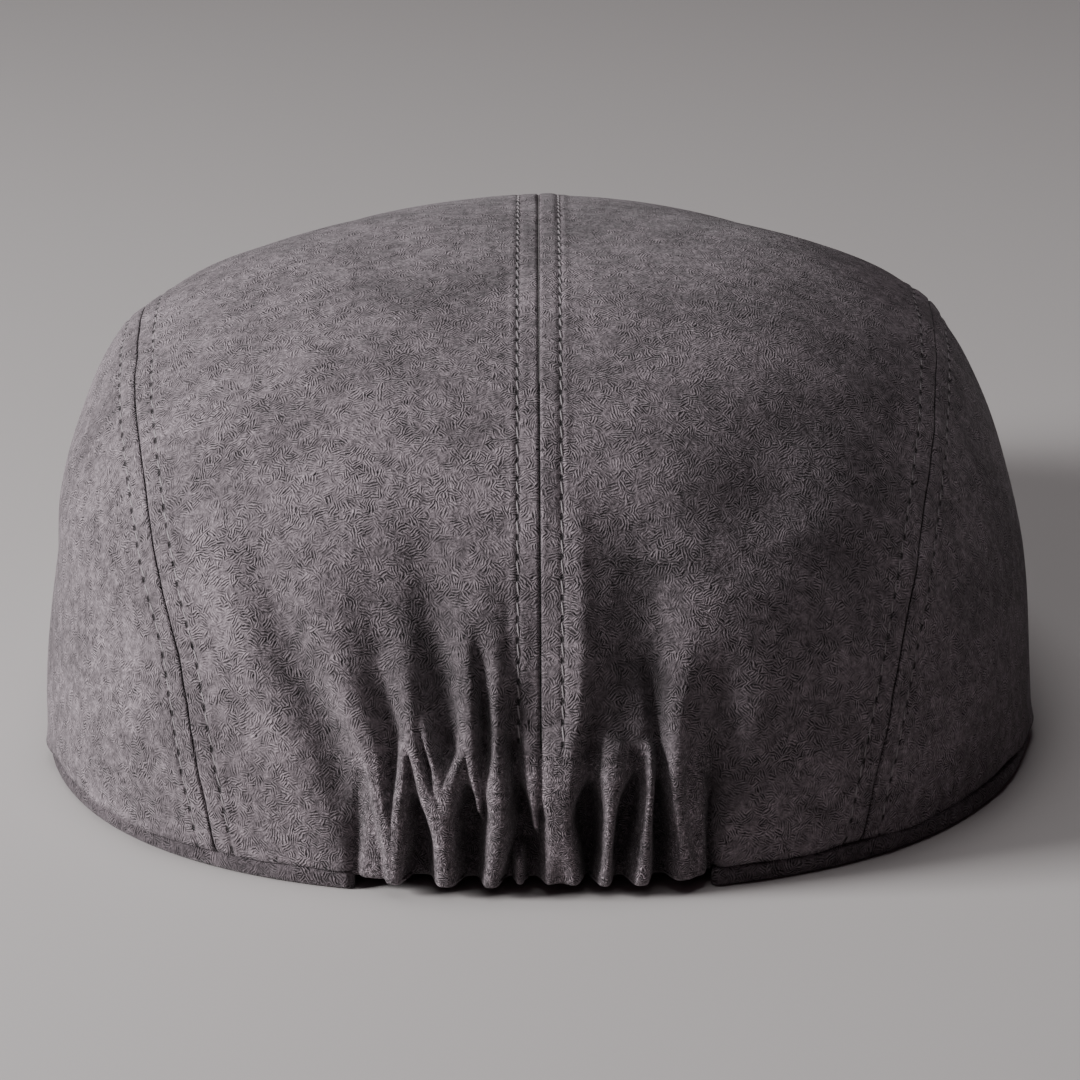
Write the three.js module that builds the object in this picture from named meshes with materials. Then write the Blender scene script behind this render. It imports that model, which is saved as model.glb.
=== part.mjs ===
// A soft flat cap with a gathered back, lying by itself on a surface.
// Millimetres, +Z up. The peak points along -Y and the wearer's left is along +X.
// The origin is at the middle of the cap's length and width, on the surface that it lies on.
import * as THREE from "three";
import { mergeVertices } from "three/addons/utils/BufferGeometryUtils.js";

// Plan of the crown at its lower edge
const halfWidth = 95; // from the middle to the side
const backReach = 98; // from the crown's top point to the gathered back
const frontReach = 140; // from the crown's top point to the front of the crown
const backSquareness = 2.35; // exponent of the oval: 2 is an ellipse, more is squarer
const frontSquareness = 2.2;
const sideSkew = 2; // the left side sits this far back and the right side as far forward

// Crown
const crownHeight = 97; // top of the crown above the surface
const clothWall = 2; // faced and lined cloth of the panels
const seamClearance = 0.3; // between pieces that are sewn to each other
const sideSeamShare = 0.505; // side seam across the crown, as a share of the way to the rim
const sideSeamFlare = 0.067; // how much further out the seam ends at the back edge
const sideSeamFoot = 0.82; // share of the way back at which the flare has that value

// Turned edge along the opening
const bandHeight = 4;
const bandThickness = 3;
const bandProud = 0.4; // how far it stands out of the panels
const bandRound = 1.2; // height over which its upper edge is rounded
const bandPinch = 0.385; // share of its thickness that the rounding takes off on each side at the top

// Gathered tunnel at the back
const casingHalfWidth = 32;
const casingShift = 1.5; // its middle lies this far to the wearer's left
const casingTop = 26.5; // height of the seam above the gathers
const casingFoot = 2.5; // its lower edge stays clear of the surface
const pleatDepth = 4; // from the bottom of a pleat to its crest
const softFoldDepth = 3; // depth of the loose folds that run up from the gathers
const softFoldTop = 66; // height at which the last of them has faded
const gatherFade = 8; // width over which the gathers give way to smooth cloth, at the casing's end
const pleatRise = 12; // height over which the pleats give way to loose folds, at the casing's seam
const foldedShare = 0.4; // share of the way back over which the folds come in
const levelShare = 0.25; // band round the casing's seam where folds push straight out, of its height

// Peak
const peakReach = 9; // how far it shows in front of the crown
const peakThickness = 3;
const peakArch = 190; // radius that it bends down to, seen from the front
const peakSlope = 0.13; // fall towards the front, per length
const peakCorner = THREE.MathUtils.degToRad(118); // where it meets the band, from the back
const peakTip = 7; // width of its corners, between the band's line and the head opening
const headFront = 84; // from the crown's top point to the peak's inner edge

// Sections round the crown, from the back to the front.
// lean: how much the wall swells out low down, as a share of the half width.
// rise: how far it climbs before it turns in, as a share of the crown's height.
// cap: how far out the rounded top reaches, as a share of the plan's radius.
const SECTIONS = [
  { name: "back", lean: 0.06, rise: 0.54, cap: 0.65 },
  { name: "back quarter", lean: 0.045, rise: 0.73, cap: 0.66 },
  { name: "side", lean: -0.035, rise: 0.83, cap: 0.79 },
  { name: "front quarter", lean: 0.03, rise: 0.45, cap: 0.7 },
  { name: "front", lean: 0.03, rise: 0.3, cap: 0.56 },
];

// Pleats of the gathered tunnel, from the wearer's left to the right.
// top, foot: place at its upper and lower seam, as shares of its half width.
// broadTop, broadFoot: width there, as shares of its half width.
// crest: height, as a share of the pleat depth. fade: share of the height where it dies out.
const pleatFloor = 0.5; // share of the pleat depth that the valleys lie behind the smooth crown
const PLEATS = [
  { top: 0.93, foot: 0.86, broadTop: 0.08, broadFoot: 0.07, crest: 0.5, fade: 0 },
  { top: 0.79, foot: 0.82, broadTop: 0.06, broadFoot: 0.1, crest: 0.75, fade: 0 },
  { top: 0.69, foot: 0.55, broadTop: 0.09, broadFoot: 0.12, crest: 0.95, fade: 0 },
  { top: 0.44, foot: 0.53, broadTop: 0.1, broadFoot: 0.1, crest: 0.85, fade: 0.35 },
  { top: 0.37, foot: 0.33, broadTop: 0.07, broadFoot: 0.04, crest: 0.6, fade: 0.45 },
  { top: 0.23, foot: 0.31, broadTop: 0.09, broadFoot: 0.13, crest: 1, fade: 0 },
  { top: 0.05, foot: 0.02, broadTop: 0.09, broadFoot: 0.03, crest: 0.7, fade: 0.5 },
  { top: -0.09, foot: -0.12, broadTop: 0.12, broadFoot: 0.16, crest: 0.95, fade: 0 },
  { top: -0.35, foot: -0.31, broadTop: 0.08, broadFoot: 0.1, crest: 0.9, fade: 0 },
  { top: -0.59, foot: -0.51, broadTop: 0.06, broadFoot: 0.12, crest: 0.9, fade: 0 },
  { top: -0.76, foot: -0.82, broadTop: 0.13, broadFoot: 0.13, crest: 0.95, fade: 0 },
  { top: -0.95, foot: -0.97, broadTop: 0.06, broadFoot: 0.06, crest: 0.4, fade: 0 },
];

// Loose folds of the panels above and beside the gathers, from the left to the right.
// x, z: place where it starts, as shares of the casing's half width and of softFoldTop.
// footX, footZ: place where it ends. broad: width, as a share of the casing's half width.
// crest: height as a share of the soft fold depth, less than nothing for a valley.
const softFoldStart = 0.62; // share of its length over which a loose fold comes up
const softFoldEnd = 2; // widths below its foot over which it dies out
const softFoldSpread = 1.4; // a loose fold's slopes, as a share of its width
const SOFT_FOLDS = [
  { x: 1.72, z: 0.78, footX: 1.36, footZ: 0.08, broad: 0.26, crest: 0.55 },
  { x: 1.5, z: 0.74, footX: 1.16, footZ: 0.24, broad: 0.2, crest: -0.7 },
  { x: 0.98, z: 0.66, footX: 0.92, footZ: 0.2, broad: 0.12, crest: 0.4 },
  { x: 0.87, z: 0.6, footX: 0.72, footZ: 0.38, broad: 0.12, crest: -0.8 },
  { x: 0.7, z: 0.68, footX: 0.64, footZ: 0.36, broad: 0.12, crest: 0.5 },
  { x: 0.56, z: 0.76, footX: 0.4, footZ: 0.36, broad: 0.17, crest: -0.95 },
  { x: 0.41, z: 0.62, footX: 0.36, footZ: 0.38, broad: 0.08, crest: 0.5 },
  { x: 0.31, z: 0.58, footX: 0.28, footZ: 0.38, broad: 0.07, crest: -0.7 },
  { x: 0.24, z: 0.62, footX: 0.19, footZ: 0.38, broad: 0.08, crest: 0.6 },
  { x: -0.17, z: 0.92, footX: -0.2, footZ: 0.38, broad: 0.09, crest: 0.5 },
  { x: -0.44, z: 0.7, footX: -0.44, footZ: 0.36, broad: 0.2, crest: -1 },
  { x: -0.79, z: 0.96, footX: -0.78, footZ: 0.36, broad: 0.18, crest: 0.75 },
  { x: -1.2, z: 0.68, footX: -1.32, footZ: 0.42, broad: 0.2, crest: -0.6 },
  { x: -1.56, z: 0.74, footX: -1.24, footZ: 0.18, broad: 0.2, crest: 0.6 },
];

// Cells of cloth: enough for the outline and the main folds
const CELLS = {
  alongCrown: 22, // front edge to the height of the casing's seam
  besideCasing: 5, // that height to the lower edge
  overCasing: 19, // centre seam to the casing's end
  besideSeam: 7, // casing's end to the side seam
  downSide: 8, // side seam to the lower edge
  acrossCasing: 62,
  downCasing: 7,
  alongBand: 20,
  alongPeak: 28,
};

const clothColour = 0x716b70;
const peakColour = 0x6d676c;

// Small step in the shares that give a place on the crown
const step = 1e-3;

// Smooth step from 0 to 1
function ease(share) {
  const s = THREE.MathUtils.clamp(share, 0, 1);
  return s * s * (3 - 2 * s);
}

// Root of a rising function between two values
function solve(rising, low, high) {
  for (let i = 0; i < 36; i++) {
    const middle = (low + high) / 2;
    if (rising(middle) < 0) low = middle;
    else high = middle;
  }
  return (low + high) / 2;
}

// Value of a column of the sections at an angle from the back, on a smooth curve
function sectionValue(column, angle) {
  const last = SECTIONS.length - 1;
  const place = Math.min((Math.abs(angle) / Math.PI) * last, last - 1e-9);
  const row = Math.floor(place);
  const f = place - row;
  const value = (i) => SECTIONS[last - Math.abs(last - Math.abs(i))][column];
  const [a, b, c, d] = [row - 1, row, row + 1, row + 2].map(value);
  return 0.5 * (2 * b + (c - a) * f + (2 * a - 5 * b + 4 * c - d) * f * f
    + (3 * b - a - 3 * c + d) * f * f * f);
}

// Radius of the plan at an angle from the back
function planRadius(angle, front = frontReach) {
  const behind = Math.cos(angle) >= 0;
  const reach = behind ? backReach : front;
  const power = behind ? backSquareness : frontSquareness;
  const across = Math.abs(Math.sin(angle)) / halfWidth;
  const along = Math.abs(Math.cos(angle)) / reach;
  return Math.pow(across ** power + along ** power, -1 / power);
}

// Height of the peak's underside, before it is lowered on to the surface
function peakBend(x, y) {
  return (y + frontReach + peakReach) * peakSlope - (x * x) / (2 * peakArch);
}

// Share of its thickness that the peak keeps at the very edge
const PEAK_BLUNT = 0.2;

// Stations over the rounded outer edge of the peak: how far out, and half the thickness there
const PEAK_NOSE = [0, 0.35, 0.75, 1].map((out) => ({
  out: ((out - 1) * peakThickness) / 2,
  half: (Math.sqrt(Math.max(PEAK_BLUNT ** 2, 1 - out ** 2)) * peakThickness) / 2,
}));

// The peak lies on the surface with the lowest points of its outer edge
let peakDrop = Infinity;
for (let angle = peakCorner; angle <= Math.PI; angle += 0.01)
  for (const { out, half } of PEAK_NOSE) {
    const radius = planRadius(angle, frontReach + peakReach) + out;
    const bend = peakBend(radius * Math.sin(angle), radius * Math.cos(angle));
    peakDrop = Math.min(peakDrop, bend + peakThickness / 2 - half);
  }

function peakUnderside(x, y) {
  return peakBend(x, y) - peakDrop;
}

// Height of what carries the crown's lower edge: the band, and from its corners on the peak
function seatHeight(x, y) {
  const angle = Math.abs(Math.atan2(x, y));
  const run = peakTip / halfWidth;
  const overBand = bandHeight + seamClearance;
  const overPeak = peakUnderside(x, y) + peakThickness + seamClearance;
  const climb = ease((angle - peakCorner + 2 * run) / run);
  const onPeak = ease((angle - peakCorner) / run);
  const above = overBand + climb * Math.max(0, overPeak - overBand);
  return THREE.MathUtils.lerp(above, overPeak, onPeak);
}

// Smooth surface of the crown without its folds.
// Across and along are shares from the top point: 1 is the lower edge on any side.
function crownPoint(across, along) {
  const angle = Math.atan2(across, along);
  const t = 1 - Math.hypot(across, along);
  const radius = planRadius(angle);
  const foot = seatHeight(radius * Math.sin(angle), radius * Math.cos(angle));
  const curve = [
    [radius, foot],
    [radius + sectionValue("lean", angle) * halfWidth,
      foot + sectionValue("rise", angle) * crownHeight],
    [radius * sectionValue("cap", angle), crownHeight],
    [0, crownHeight],
  ];
  const weights = [(1 - t) ** 3, 3 * t * (1 - t) ** 2, 3 * t * t * (1 - t), t ** 3];
  const [out, z] = [0, 1].map((i) => curve.reduce((sum, p, k) => sum + weights[k] * p[i], 0));
  return new THREE.Vector3(out * Math.sin(angle), out * Math.cos(angle), z);
}

// Share of the way from the top point at which the crown is a given height above the surface
function shareAtHeight(angle, height) {
  const drop = (r) => height - crownPoint(r * Math.sin(angle), r * Math.cos(angle)).z;
  return solve(drop, 0.3, 1.1);
}

// Rounded ridge, which has nearly died out at its width from the middle
function bump(distance, width) {
  return Math.exp(-(((2 * distance) / width) ** 2));
}

// How far the gathered tunnel stands out at a place: pleats between low valleys
function pleatPush(x, z) {
  const down = THREE.MathUtils.clamp((casingTop - z) / (casingTop - casingFoot), 0, 1);
  let crest = 0;
  for (const p of PLEATS) {
    const centre = THREE.MathUtils.lerp(p.top, p.foot, down) * casingHalfWidth;
    const width = THREE.MathUtils.lerp(p.broadTop, p.broadFoot, down) * casingHalfWidth;
    const alive = p.fade > 0 ? 1 - ease(down / (2 * p.fade)) : 1;
    crest = Math.max(crest, p.crest * alive * bump(x - casingShift - centre, width));
  }
  return (crest - pleatFloor) * pleatDepth;
}

// How far the loose folds push the panels in or out at a place
function softPush(x, z) {
  let push = 0;
  for (const f of SOFT_FOLDS) {
    const run = THREE.MathUtils.clamp(
      (f.z * softFoldTop - z) / ((f.z - f.footZ) * softFoldTop), 0, 1);
    const centre = THREE.MathUtils.lerp(f.x, f.footX, run) * casingHalfWidth;
    const below = Math.max(0, f.footZ * softFoldTop - z) / (f.broad * casingHalfWidth);
    const alive = ease(run / softFoldStart) * (1 - ease(below / softFoldEnd));
    push += f.crest * alive * bump(x - centre, softFoldSpread * f.broad * casingHalfWidth);
  }
  return push * softFoldDepth;
}

// Push of the folds anywhere on the back of the crown
function foldPush(x, y, z) {
  const behind = ease(y / (foldedShare * backReach));
  if (behind === 0) return 0;
  const past = ease((Math.abs(x - casingShift) - casingHalfWidth) / gatherFade + 0.5);
  const above = (z - casingTop) / pleatRise;
  const gathered = (1 - past) * (1 - ease(above));
  const loose = ease(above + 1) + past;
  return behind * (gathered * pleatPush(x, z) + Math.min(1, loose) * softPush(x, z));
}

// Point of the cloth, with its folds: depth is 0 on the face and 1 on the back of the wall
function clothPoint(across, along, depth) {
  const point = crownPoint(across, along);
  const toSide = crownPoint(across + step, along).sub(point);
  const toBack = crownPoint(across, along + step).sub(point);
  const normal = toSide.cross(toBack).normalize();
  // At the seam above the gathers the folds push straight out, so both sides of it stay level.
  const behind = ease(point.y / (foldedShare * backReach));
  const away = Math.abs(point.z - casingTop) / (levelShare * casingTop);
  normal.z *= 1 - behind * (1 - ease(away));
  const push = foldPush(point.x, point.y, point.z) - depth * clothWall;
  const placed = point.addScaledVector(normal, push);
  if (placed.z < seatHeight(placed.x, placed.y) && Math.hypot(across, along) < 1.001)
    placed.z = seatHeight(placed.x, placed.y);
  return placed;
}

// Distance in millimetres turned into a share across the crown, near a place
function shareAcross(distance, across, along) {
  const span = crownPoint(across + step, along).distanceTo(crownPoint(across, along));
  return (distance * step) / span;
}

// Side seam's place across the crown, at a place along it
function seamAcross(along) {
  return sideSeamShare + sideSeamFlare * (Math.max(0, along) / sideSeamFoot) ** 4;
}

// Where a line at a share of the way to the side seam leaves the crown's top, ahead or behind
function lineEnd(share, side, rim) {
  let along = side;
  for (let i = 0; i < 30; i++) {
    const across = share * seamAcross(along);
    const angle = Math.atan2(across, along);
    along = side * Math.sqrt(Math.max(0, rim(angle) ** 2 - across ** 2));
  }
  return along;
}

const rimShare = () => 1;
const casingSeamShare = (angle) => shareAtHeight(angle, casingTop);

// Line of the cloth from the front edge to the height of the casing's seam,
// at a share of the way from the centre seam to the side seam
function clothLine(share) {
  const ahead = lineEnd(share, -1, rimShare);
  const behind = lineEnd(share, 1, casingSeamShare);
  const angle = Math.atan2(share * seamAcross(behind), behind);
  return { share, ahead, behind, angle, start: casingSeamShare(angle) };
}

const seamLine = clothLine(1);
const seamFoot = lineEnd(1, 1, rimShare);
const seamTurn = Math.atan2(seamAcross(seamFoot), seamFoot) - seamLine.angle;

// End of the casing on one side, as an angle from the back
function casingEnd(side) {
  const half = casingHalfWidth + side * casingShift;
  const reach = (angle) => {
    const r = casingSeamShare(angle);
    return crownPoint(r * Math.sin(angle), r * Math.cos(angle)).x - half;
  };
  return solve(reach, 0, Math.PI / 3);
}

const SIDES = [
  { name: "left", side: 1, end: casingEnd(1) },
  { name: "right", side: -1, end: casingEnd(-1) },
];

// Share of the way to the side seam at which the crown's top is notched for the casing
function notchShare(end) {
  const clear = end + seamClearance / backReach;
  const seam = casingSeamShare(clear);
  return (seam * Math.sin(clear)) / seamAcross(seam * Math.cos(clear));
}

// Point on the crown's pattern, for a row counted from the front on one line of the cloth
function patternPoint(row, line, notch) {
  if (row <= CELLS.alongCrown) {
    const along = THREE.MathUtils.lerp(line.ahead, line.behind, row / CELLS.alongCrown);
    return [line.share * seamAcross(along), along];
  }
  // Below the height of the casing's seam the lines run straight down to the edge.
  const down = (row - CELLS.alongCrown) / CELLS.besideCasing;
  const beside = Math.max(0, (line.share - notch) / (1 - notch));
  const angle = line.angle + seamTurn * down * beside ** 2;
  const radius = THREE.MathUtils.lerp(line.start, 1, down);
  return [radius * Math.sin(angle), radius * Math.cos(angle)];
}

// Closes a grid of cells into one wall. at(row, column, depth) gives its points, and
// kept(row, column) says which cells are there.
function wallGeometry(rows, columns, at, kept = () => true) {
  const grids = [0, 1].map((depth) => {
    const grid = [];
    for (let r = 0; r <= rows; r++) {
      const line = [];
      for (let c = 0; c <= columns; c++) line.push(at(r, c, depth));
      grid.push(line);
    }
    return grid;
  });
  const has = (r, c) => r >= 0 && c >= 0 && r < rows && c < columns && kept(r, c);
  const corners = [];
  const quad = (a, b, c, d) => corners.push(a, b, c, a, c, d);
  const [face, back] = grids;
  for (let r = 0; r < rows; r++)
    for (let c = 0; c < columns; c++) {
      if (!has(r, c)) continue;
      quad(face[r][c], face[r][c + 1], face[r + 1][c + 1], face[r + 1][c]);
      quad(back[r][c], back[r + 1][c], back[r + 1][c + 1], back[r][c + 1]);
      const edge = (ra, ca, rb, cb) =>
        quad(face[ra][ca], back[ra][ca], back[rb][cb], face[rb][cb]);
      if (!has(r - 1, c)) edge(r, c, r, c + 1);
      if (!has(r, c + 1)) edge(r, c + 1, r + 1, c + 1);
      if (!has(r + 1, c)) edge(r + 1, c + 1, r + 1, c);
      if (!has(r, c - 1)) edge(r + 1, c, r, c);
    }
  const positions = new Float32Array(corners.flatMap((p) => p.toArray()));
  const loose = new THREE.BufferGeometry();
  loose.setAttribute("position", new THREE.BufferAttribute(positions, 3));
  const merged = mergeVertices(loose, 1e-3);
  return facingOut(merged);
}

// Drops the triangles that have closed up, and turns all of them outwards
function facingOut(geometry) {
  const index = geometry.index.array;
  const position = geometry.attributes.position;
  const [a, b, c] = [0, 1, 2].map(() => new THREE.Vector3());
  let volume = 0;
  const kept = [];
  for (let i = 0; i < index.length; i += 3) {
    const [p, q, r] = [index[i], index[i + 1], index[i + 2]];
    if (p === q || q === r || r === p) continue;
    kept.push([p, q, r]);
    a.fromBufferAttribute(position, p);
    b.fromBufferAttribute(position, q);
    c.fromBufferAttribute(position, r);
    volume += a.dot(b.cross(c));
  }
  geometry.setIndex(kept.flatMap(([p, q, r]) => (volume < 0 ? [p, r, q] : [p, q, r])));
  geometry.computeVertexNormals();
  return geometry;
}

// Sets the left side back and the right side forward, as the soft cap lies
function skewed(point) {
  point.y += (sideSkew * point.x) / halfWidth;
  return point;
}

function piece(name, colour, geometry) {
  const material = new THREE.MeshStandardMaterial({ color: colour, roughness: 0.95, metalness: 0 });
  const mesh = new THREE.Mesh(geometry, material);
  mesh.name = name;
  return mesh;
}

const crownRows = CELLS.alongCrown + CELLS.besideCasing;

// Half of the crown's top, from the centre seam to a side seam, with a notch for the casing
function topPanel({ side, end }) {
  const notch = notchShare(end);
  const columns = CELLS.overCasing + CELLS.besideSeam;
  const lines = [];
  for (let c = 0; c <= columns; c++)
    lines.push(clothLine(c <= CELLS.overCasing
      ? (notch * c) / CELLS.overCasing
      : notch + ((1 - notch) * (c - CELLS.overCasing)) / CELLS.besideSeam));
  const at = (r, c, depth) => {
    const [across, along] = patternPoint(r, lines[c], notch);
    const inset = c === 0 ? seamClearance / 2 : c === columns ? -seamClearance / 2 : 0;
    const placed = across + shareAcross(inset, across, along);
    return skewed(clothPoint(side * placed, along, depth));
  };
  const kept = (r, c) => r < CELLS.alongCrown || c >= CELLS.overCasing;
  return wallGeometry(crownRows, columns, at, kept);
}

// Side of the crown, from the side seam down to the band and the peak
function sidePanel({ side, end }) {
  const notch = notchShare(end);
  const seam = [];
  let length = 0;
  for (let r = 0; r <= crownRows; r++) {
    const [across, along] = patternPoint(r, seamLine, notch);
    if (r > 0) length += Math.hypot(across - seam[r - 1].across, along - seam[r - 1].along);
    seam.push({ across, along, length });
  }
  // Its two tips stand clear of the seam's ends, on the lower edge.
  const tip = (2 * seamClearance) / halfWidth;
  const front = Math.atan2(seam[0].across, seam[0].along) - tip;
  const back = Math.atan2(seam[crownRows].across, seam[crownRows].along) + tip;
  const at = (r, c, depth) => {
    const { across, along, length: run } = seam[r];
    const angle = THREE.MathUtils.lerp(front, back, run / length);
    const rim = [Math.sin(angle), Math.cos(angle)];
    const closed = r === 0 || r === crownRows;
    const inset = shareAcross(seamClearance / 2, across, along);
    const upper = closed ? rim : [across + inset, along];
    const [x, y] = [0, 1].map((i) => THREE.MathUtils.lerp(upper[i], rim[i], c / CELLS.downSide));
    return skewed(clothPoint(side * x, y, depth));
  };
  return wallGeometry(crownRows, CELLS.downSide, at);
}

// Gathered tunnel between the two ends of the band
function casing() {
  const [left, right] = [SIDES[0].end, -SIDES[1].end];
  const at = (r, c, depth) => {
    const angle = THREE.MathUtils.lerp(right, left, c / CELLS.acrossCasing);
    const height = THREE.MathUtils.lerp(
      casingFoot, casingTop - seamClearance, r / CELLS.downCasing);
    const radius = shareAtHeight(angle, height);
    return skewed(clothPoint(radius * Math.sin(angle), radius * Math.cos(angle), depth));
  };
  return wallGeometry(CELLS.downCasing, CELLS.acrossCasing, at);
}

// Turned edge from the casing round to the peak, flat underneath
function edgeBand({ side, end }) {
  const from = end + seamClearance / backReach;
  const to = peakCorner - seamClearance / halfWidth;
  const levels = [0, 0.5, 1, 1.5, 2].map((step) =>
    step <= 1
      ? { height: (bandHeight - bandRound) * step, pinch: 0 }
      : { height: bandHeight - bandRound * (2 - step), pinch: bandPinch * (step - 1) ** 2 });
  const at = (r, c, depth) => {
    const angle = THREE.MathUtils.lerp(from, to, r / CELLS.alongBand);
    const { height, pinch } = levels[c];
    const inwards = THREE.MathUtils.lerp(pinch, 1 - pinch, depth) * bandThickness;
    const out = planRadius(angle) + bandProud - inwards;
    return skewed(new THREE.Vector3(side * out * Math.sin(angle), out * Math.cos(angle), height));
  };
  return wallGeometry(CELLS.alongBand, levels.length - 1, at);
}

// Crescent plate, arched from side to side, with a rounded outer edge
function peakPlate() {
  const inside = [0, 0.25, 0.5, 0.75]; // stations from the head opening to the rounded edge
  const columns = inside.length + PEAK_NOSE.length - 1;
  // The head opening borders it on an oval that meets its two corners.
  const corner = planRadius(peakCorner, frontReach + peakReach) - peakTip;
  const ahead = (corner * Math.cos(peakCorner)) / headFront;
  const headHalfWidth = (corner * Math.sin(peakCorner)) / Math.sqrt(1 - ahead * ahead);
  const at = (r, c, depth) => {
    const angle = THREE.MathUtils.lerp(peakCorner, 2 * Math.PI - peakCorner, r / CELLS.alongPeak);
    const outer = planRadius(angle, frontReach + peakReach);
    const inner = 1 / Math.hypot(Math.sin(angle) / headHalfWidth, Math.cos(angle) / headFront);
    const nose = PEAK_NOSE[Math.max(0, c - inside.length)];
    const flat = c < inside.length ? inside[c] : 1;
    const out = THREE.MathUtils.lerp(inner, outer + nose.out, flat);
    const point = new THREE.Vector3(out * Math.sin(angle), out * Math.cos(angle), 0);
    point.z = peakUnderside(point.x, point.y) + peakThickness / 2 + (depth ? -nose.half : nose.half);
    return skewed(point);
  };
  return wallGeometry(CELLS.alongPeak, columns, at);
}

const cap = new THREE.Group();
for (const half of SIDES) {
  cap.add(piece("top_panel_" + half.name, clothColour, topPanel(half)));
  cap.add(piece("side_panel_" + half.name, clothColour, sidePanel(half)));
  cap.add(piece("edge_band_" + half.name, clothColour, edgeBand(half)));
}
cap.add(piece("elastic_casing", clothColour, casing()));
cap.add(piece("peak", peakColour, peakPlate()));

// The cap is built round its top point and then centred over the origin.
const bounds = new THREE.Box3().setFromObject(cap, true);
const centre = bounds.getCenter(new THREE.Vector3());
for (const mesh of cap.children) mesh.position.set(-centre.x, -centre.y, -bounds.min.z);

export default cap;
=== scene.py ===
import math
from collections import namedtuple

import bmesh
import bpy
import numpy as np
from mathutils import Matrix, Vector
from mathutils.kdtree import KDTree


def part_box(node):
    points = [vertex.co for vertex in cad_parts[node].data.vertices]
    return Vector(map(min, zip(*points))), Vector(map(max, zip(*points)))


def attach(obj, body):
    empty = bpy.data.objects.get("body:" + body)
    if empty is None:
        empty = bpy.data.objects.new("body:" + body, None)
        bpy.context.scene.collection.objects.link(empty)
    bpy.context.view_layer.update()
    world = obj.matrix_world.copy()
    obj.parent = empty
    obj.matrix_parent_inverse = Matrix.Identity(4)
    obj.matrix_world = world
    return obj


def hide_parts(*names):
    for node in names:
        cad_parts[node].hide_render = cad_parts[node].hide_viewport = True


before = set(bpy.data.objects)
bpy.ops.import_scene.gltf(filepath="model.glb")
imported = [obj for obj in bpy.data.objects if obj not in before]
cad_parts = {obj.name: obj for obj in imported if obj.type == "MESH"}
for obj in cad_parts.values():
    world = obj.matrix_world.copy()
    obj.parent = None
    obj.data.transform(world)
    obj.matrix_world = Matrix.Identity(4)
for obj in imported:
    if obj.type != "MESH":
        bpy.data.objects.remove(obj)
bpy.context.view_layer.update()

# A soft flat cap of grey suede-like cloth, seen from its gathered back.
# Metres. The peak points along -Y, the gathers along +Y, the wearer's left along +X.
MM = 0.001

# A run over which something grows from nothing to its full size
Run = namedtuple("Run", "start length")

# Plan of the crown at its lower edge, round the crown's top point. The higher the
# squareness, the fuller its corners, and 2 is an ellipse.
HALF_WIDTH = 95 * MM
BACK_REACH = 98 * MM
FRONT_REACH = 140 * MM
BACK_SQUARENESS = 2.35
FRONT_SQUARENESS = 2.2
SIDE_SKEW = 2 * MM  # by which its left edge lies further back than its middle

# Crown
CROWN_HEIGHT = 97 * MM
CLOTH_WALL = 1.2 * MM
TUNNEL_WALL = 0.9 * MM
SEAM_SHARE = 0.505  # place of the side seam between the top point and the side
SEAM_FLARE = 0.067  # added to it at the seam's foot
SEAM_FOOT = 0.82  # place of that foot between the top point and the back

# Turned edge along the opening
BAND_HEIGHT = 3.5 * MM
BAND_THICKNESS = 3 * MM
BAND_PROUD = 0.12 * MM

# Gathered tunnel at the back
CASING_HALF = 32 * MM
CASING_SHIFT = 1.5 * MM
CASING_TOP = 26.5 * MM
CASING_FOOT = 2.5 * MM

# Peak
PEAK_REACH = 9 * MM
PEAK_THICKNESS = 3 * MM
PEAK_ARCH = 190 * MM  # radius of its curve from side to side
PEAK_SLOPE = 0.13
PEAK_CORNER = math.radians(118)  # from the back
PEAK_TIP = 7 * MM  # width of the plate at its corners
HEAD_FRONT = 84 * MM  # from the crown's top point to the plate's inner edge

# Sewing
SEAM_GAP = 0.06 * MM  # between two pieces at their seam
JOINT_GAP = 0.01 * MM  # between the casing and the cloth above it, which runs on smoothly
STITCH_PITCH = 3.65 * MM
STITCH_LENGTH = 2.7 * MM
THREAD = 0.36 * MM
STITCH_SLANT = 0.35 * MM  # by which a stitch's two ends lie apart sideways
TOPSTITCH = 3.9 * MM  # from a seam to the row of stitches beside it
CENTRE_ROW_FRONT, CENTRE_ROW_BACK = 8 * MM, 2 * MM  # bare lengths of the centre seam at its ends
SIDE_ROW_FRONT, SIDE_ROW_BACK = 9 * MM, 1 * MM
CENTRE_SINK, SIDE_SINK = 0.02 * MM, 0.12 * MM  # how deep the stitches lie in the cloth
PEAK_STITCH = 4.5 * MM  # from the peak's outer edge to the line pressed into it
PEAK_STITCH_DEPTH, PEAK_STITCH_REACH = 0.25 * MM, 0.6 * MM

# Relief that the sewing leaves in the cloth
SEAM_ROLL, SEAM_ROLL_REACH = 0.42 * MM, 0.3 * MM
ALLOWANCE, ALLOWANCE_END = 0.22 * MM, Run(TOPSTITCH + 0.4 * MM, 1.8 * MM)
ROW_DEPTH, ROW_PULL, ROW_REACH = 0.2 * MM, 0.18 * MM, 0.6 * MM
PUCKER, PUCKER_SIZE, PUCKER_REACH = 0.16 * MM, 4.5 * MM, 8 * MM

# The crown's top point lies over this place of the frame.
CROWN_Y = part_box("peak")[0][1] + FRONT_REACH + PEAK_REACH

# Sections of the crown: curves from its edge up to its top point. lean and rise place the
# lower handle of a curve, in half widths beyond the edge and crown heights above it. cap is
# the place of the upper handle between the top point and the edge.
Section = namedtuple("Section", "name lean rise cap")
SECTIONS = [
    Section("back", 0.06, 0.54, 0.65),
    Section("back quarter", 0.045, 0.73, 0.66),
    Section("side", -0.035, 0.83, 0.79),
    Section("front quarter", 0.03, 0.45, 0.7),
    Section("front", 0.03, 0.3, 0.56),
]

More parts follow.
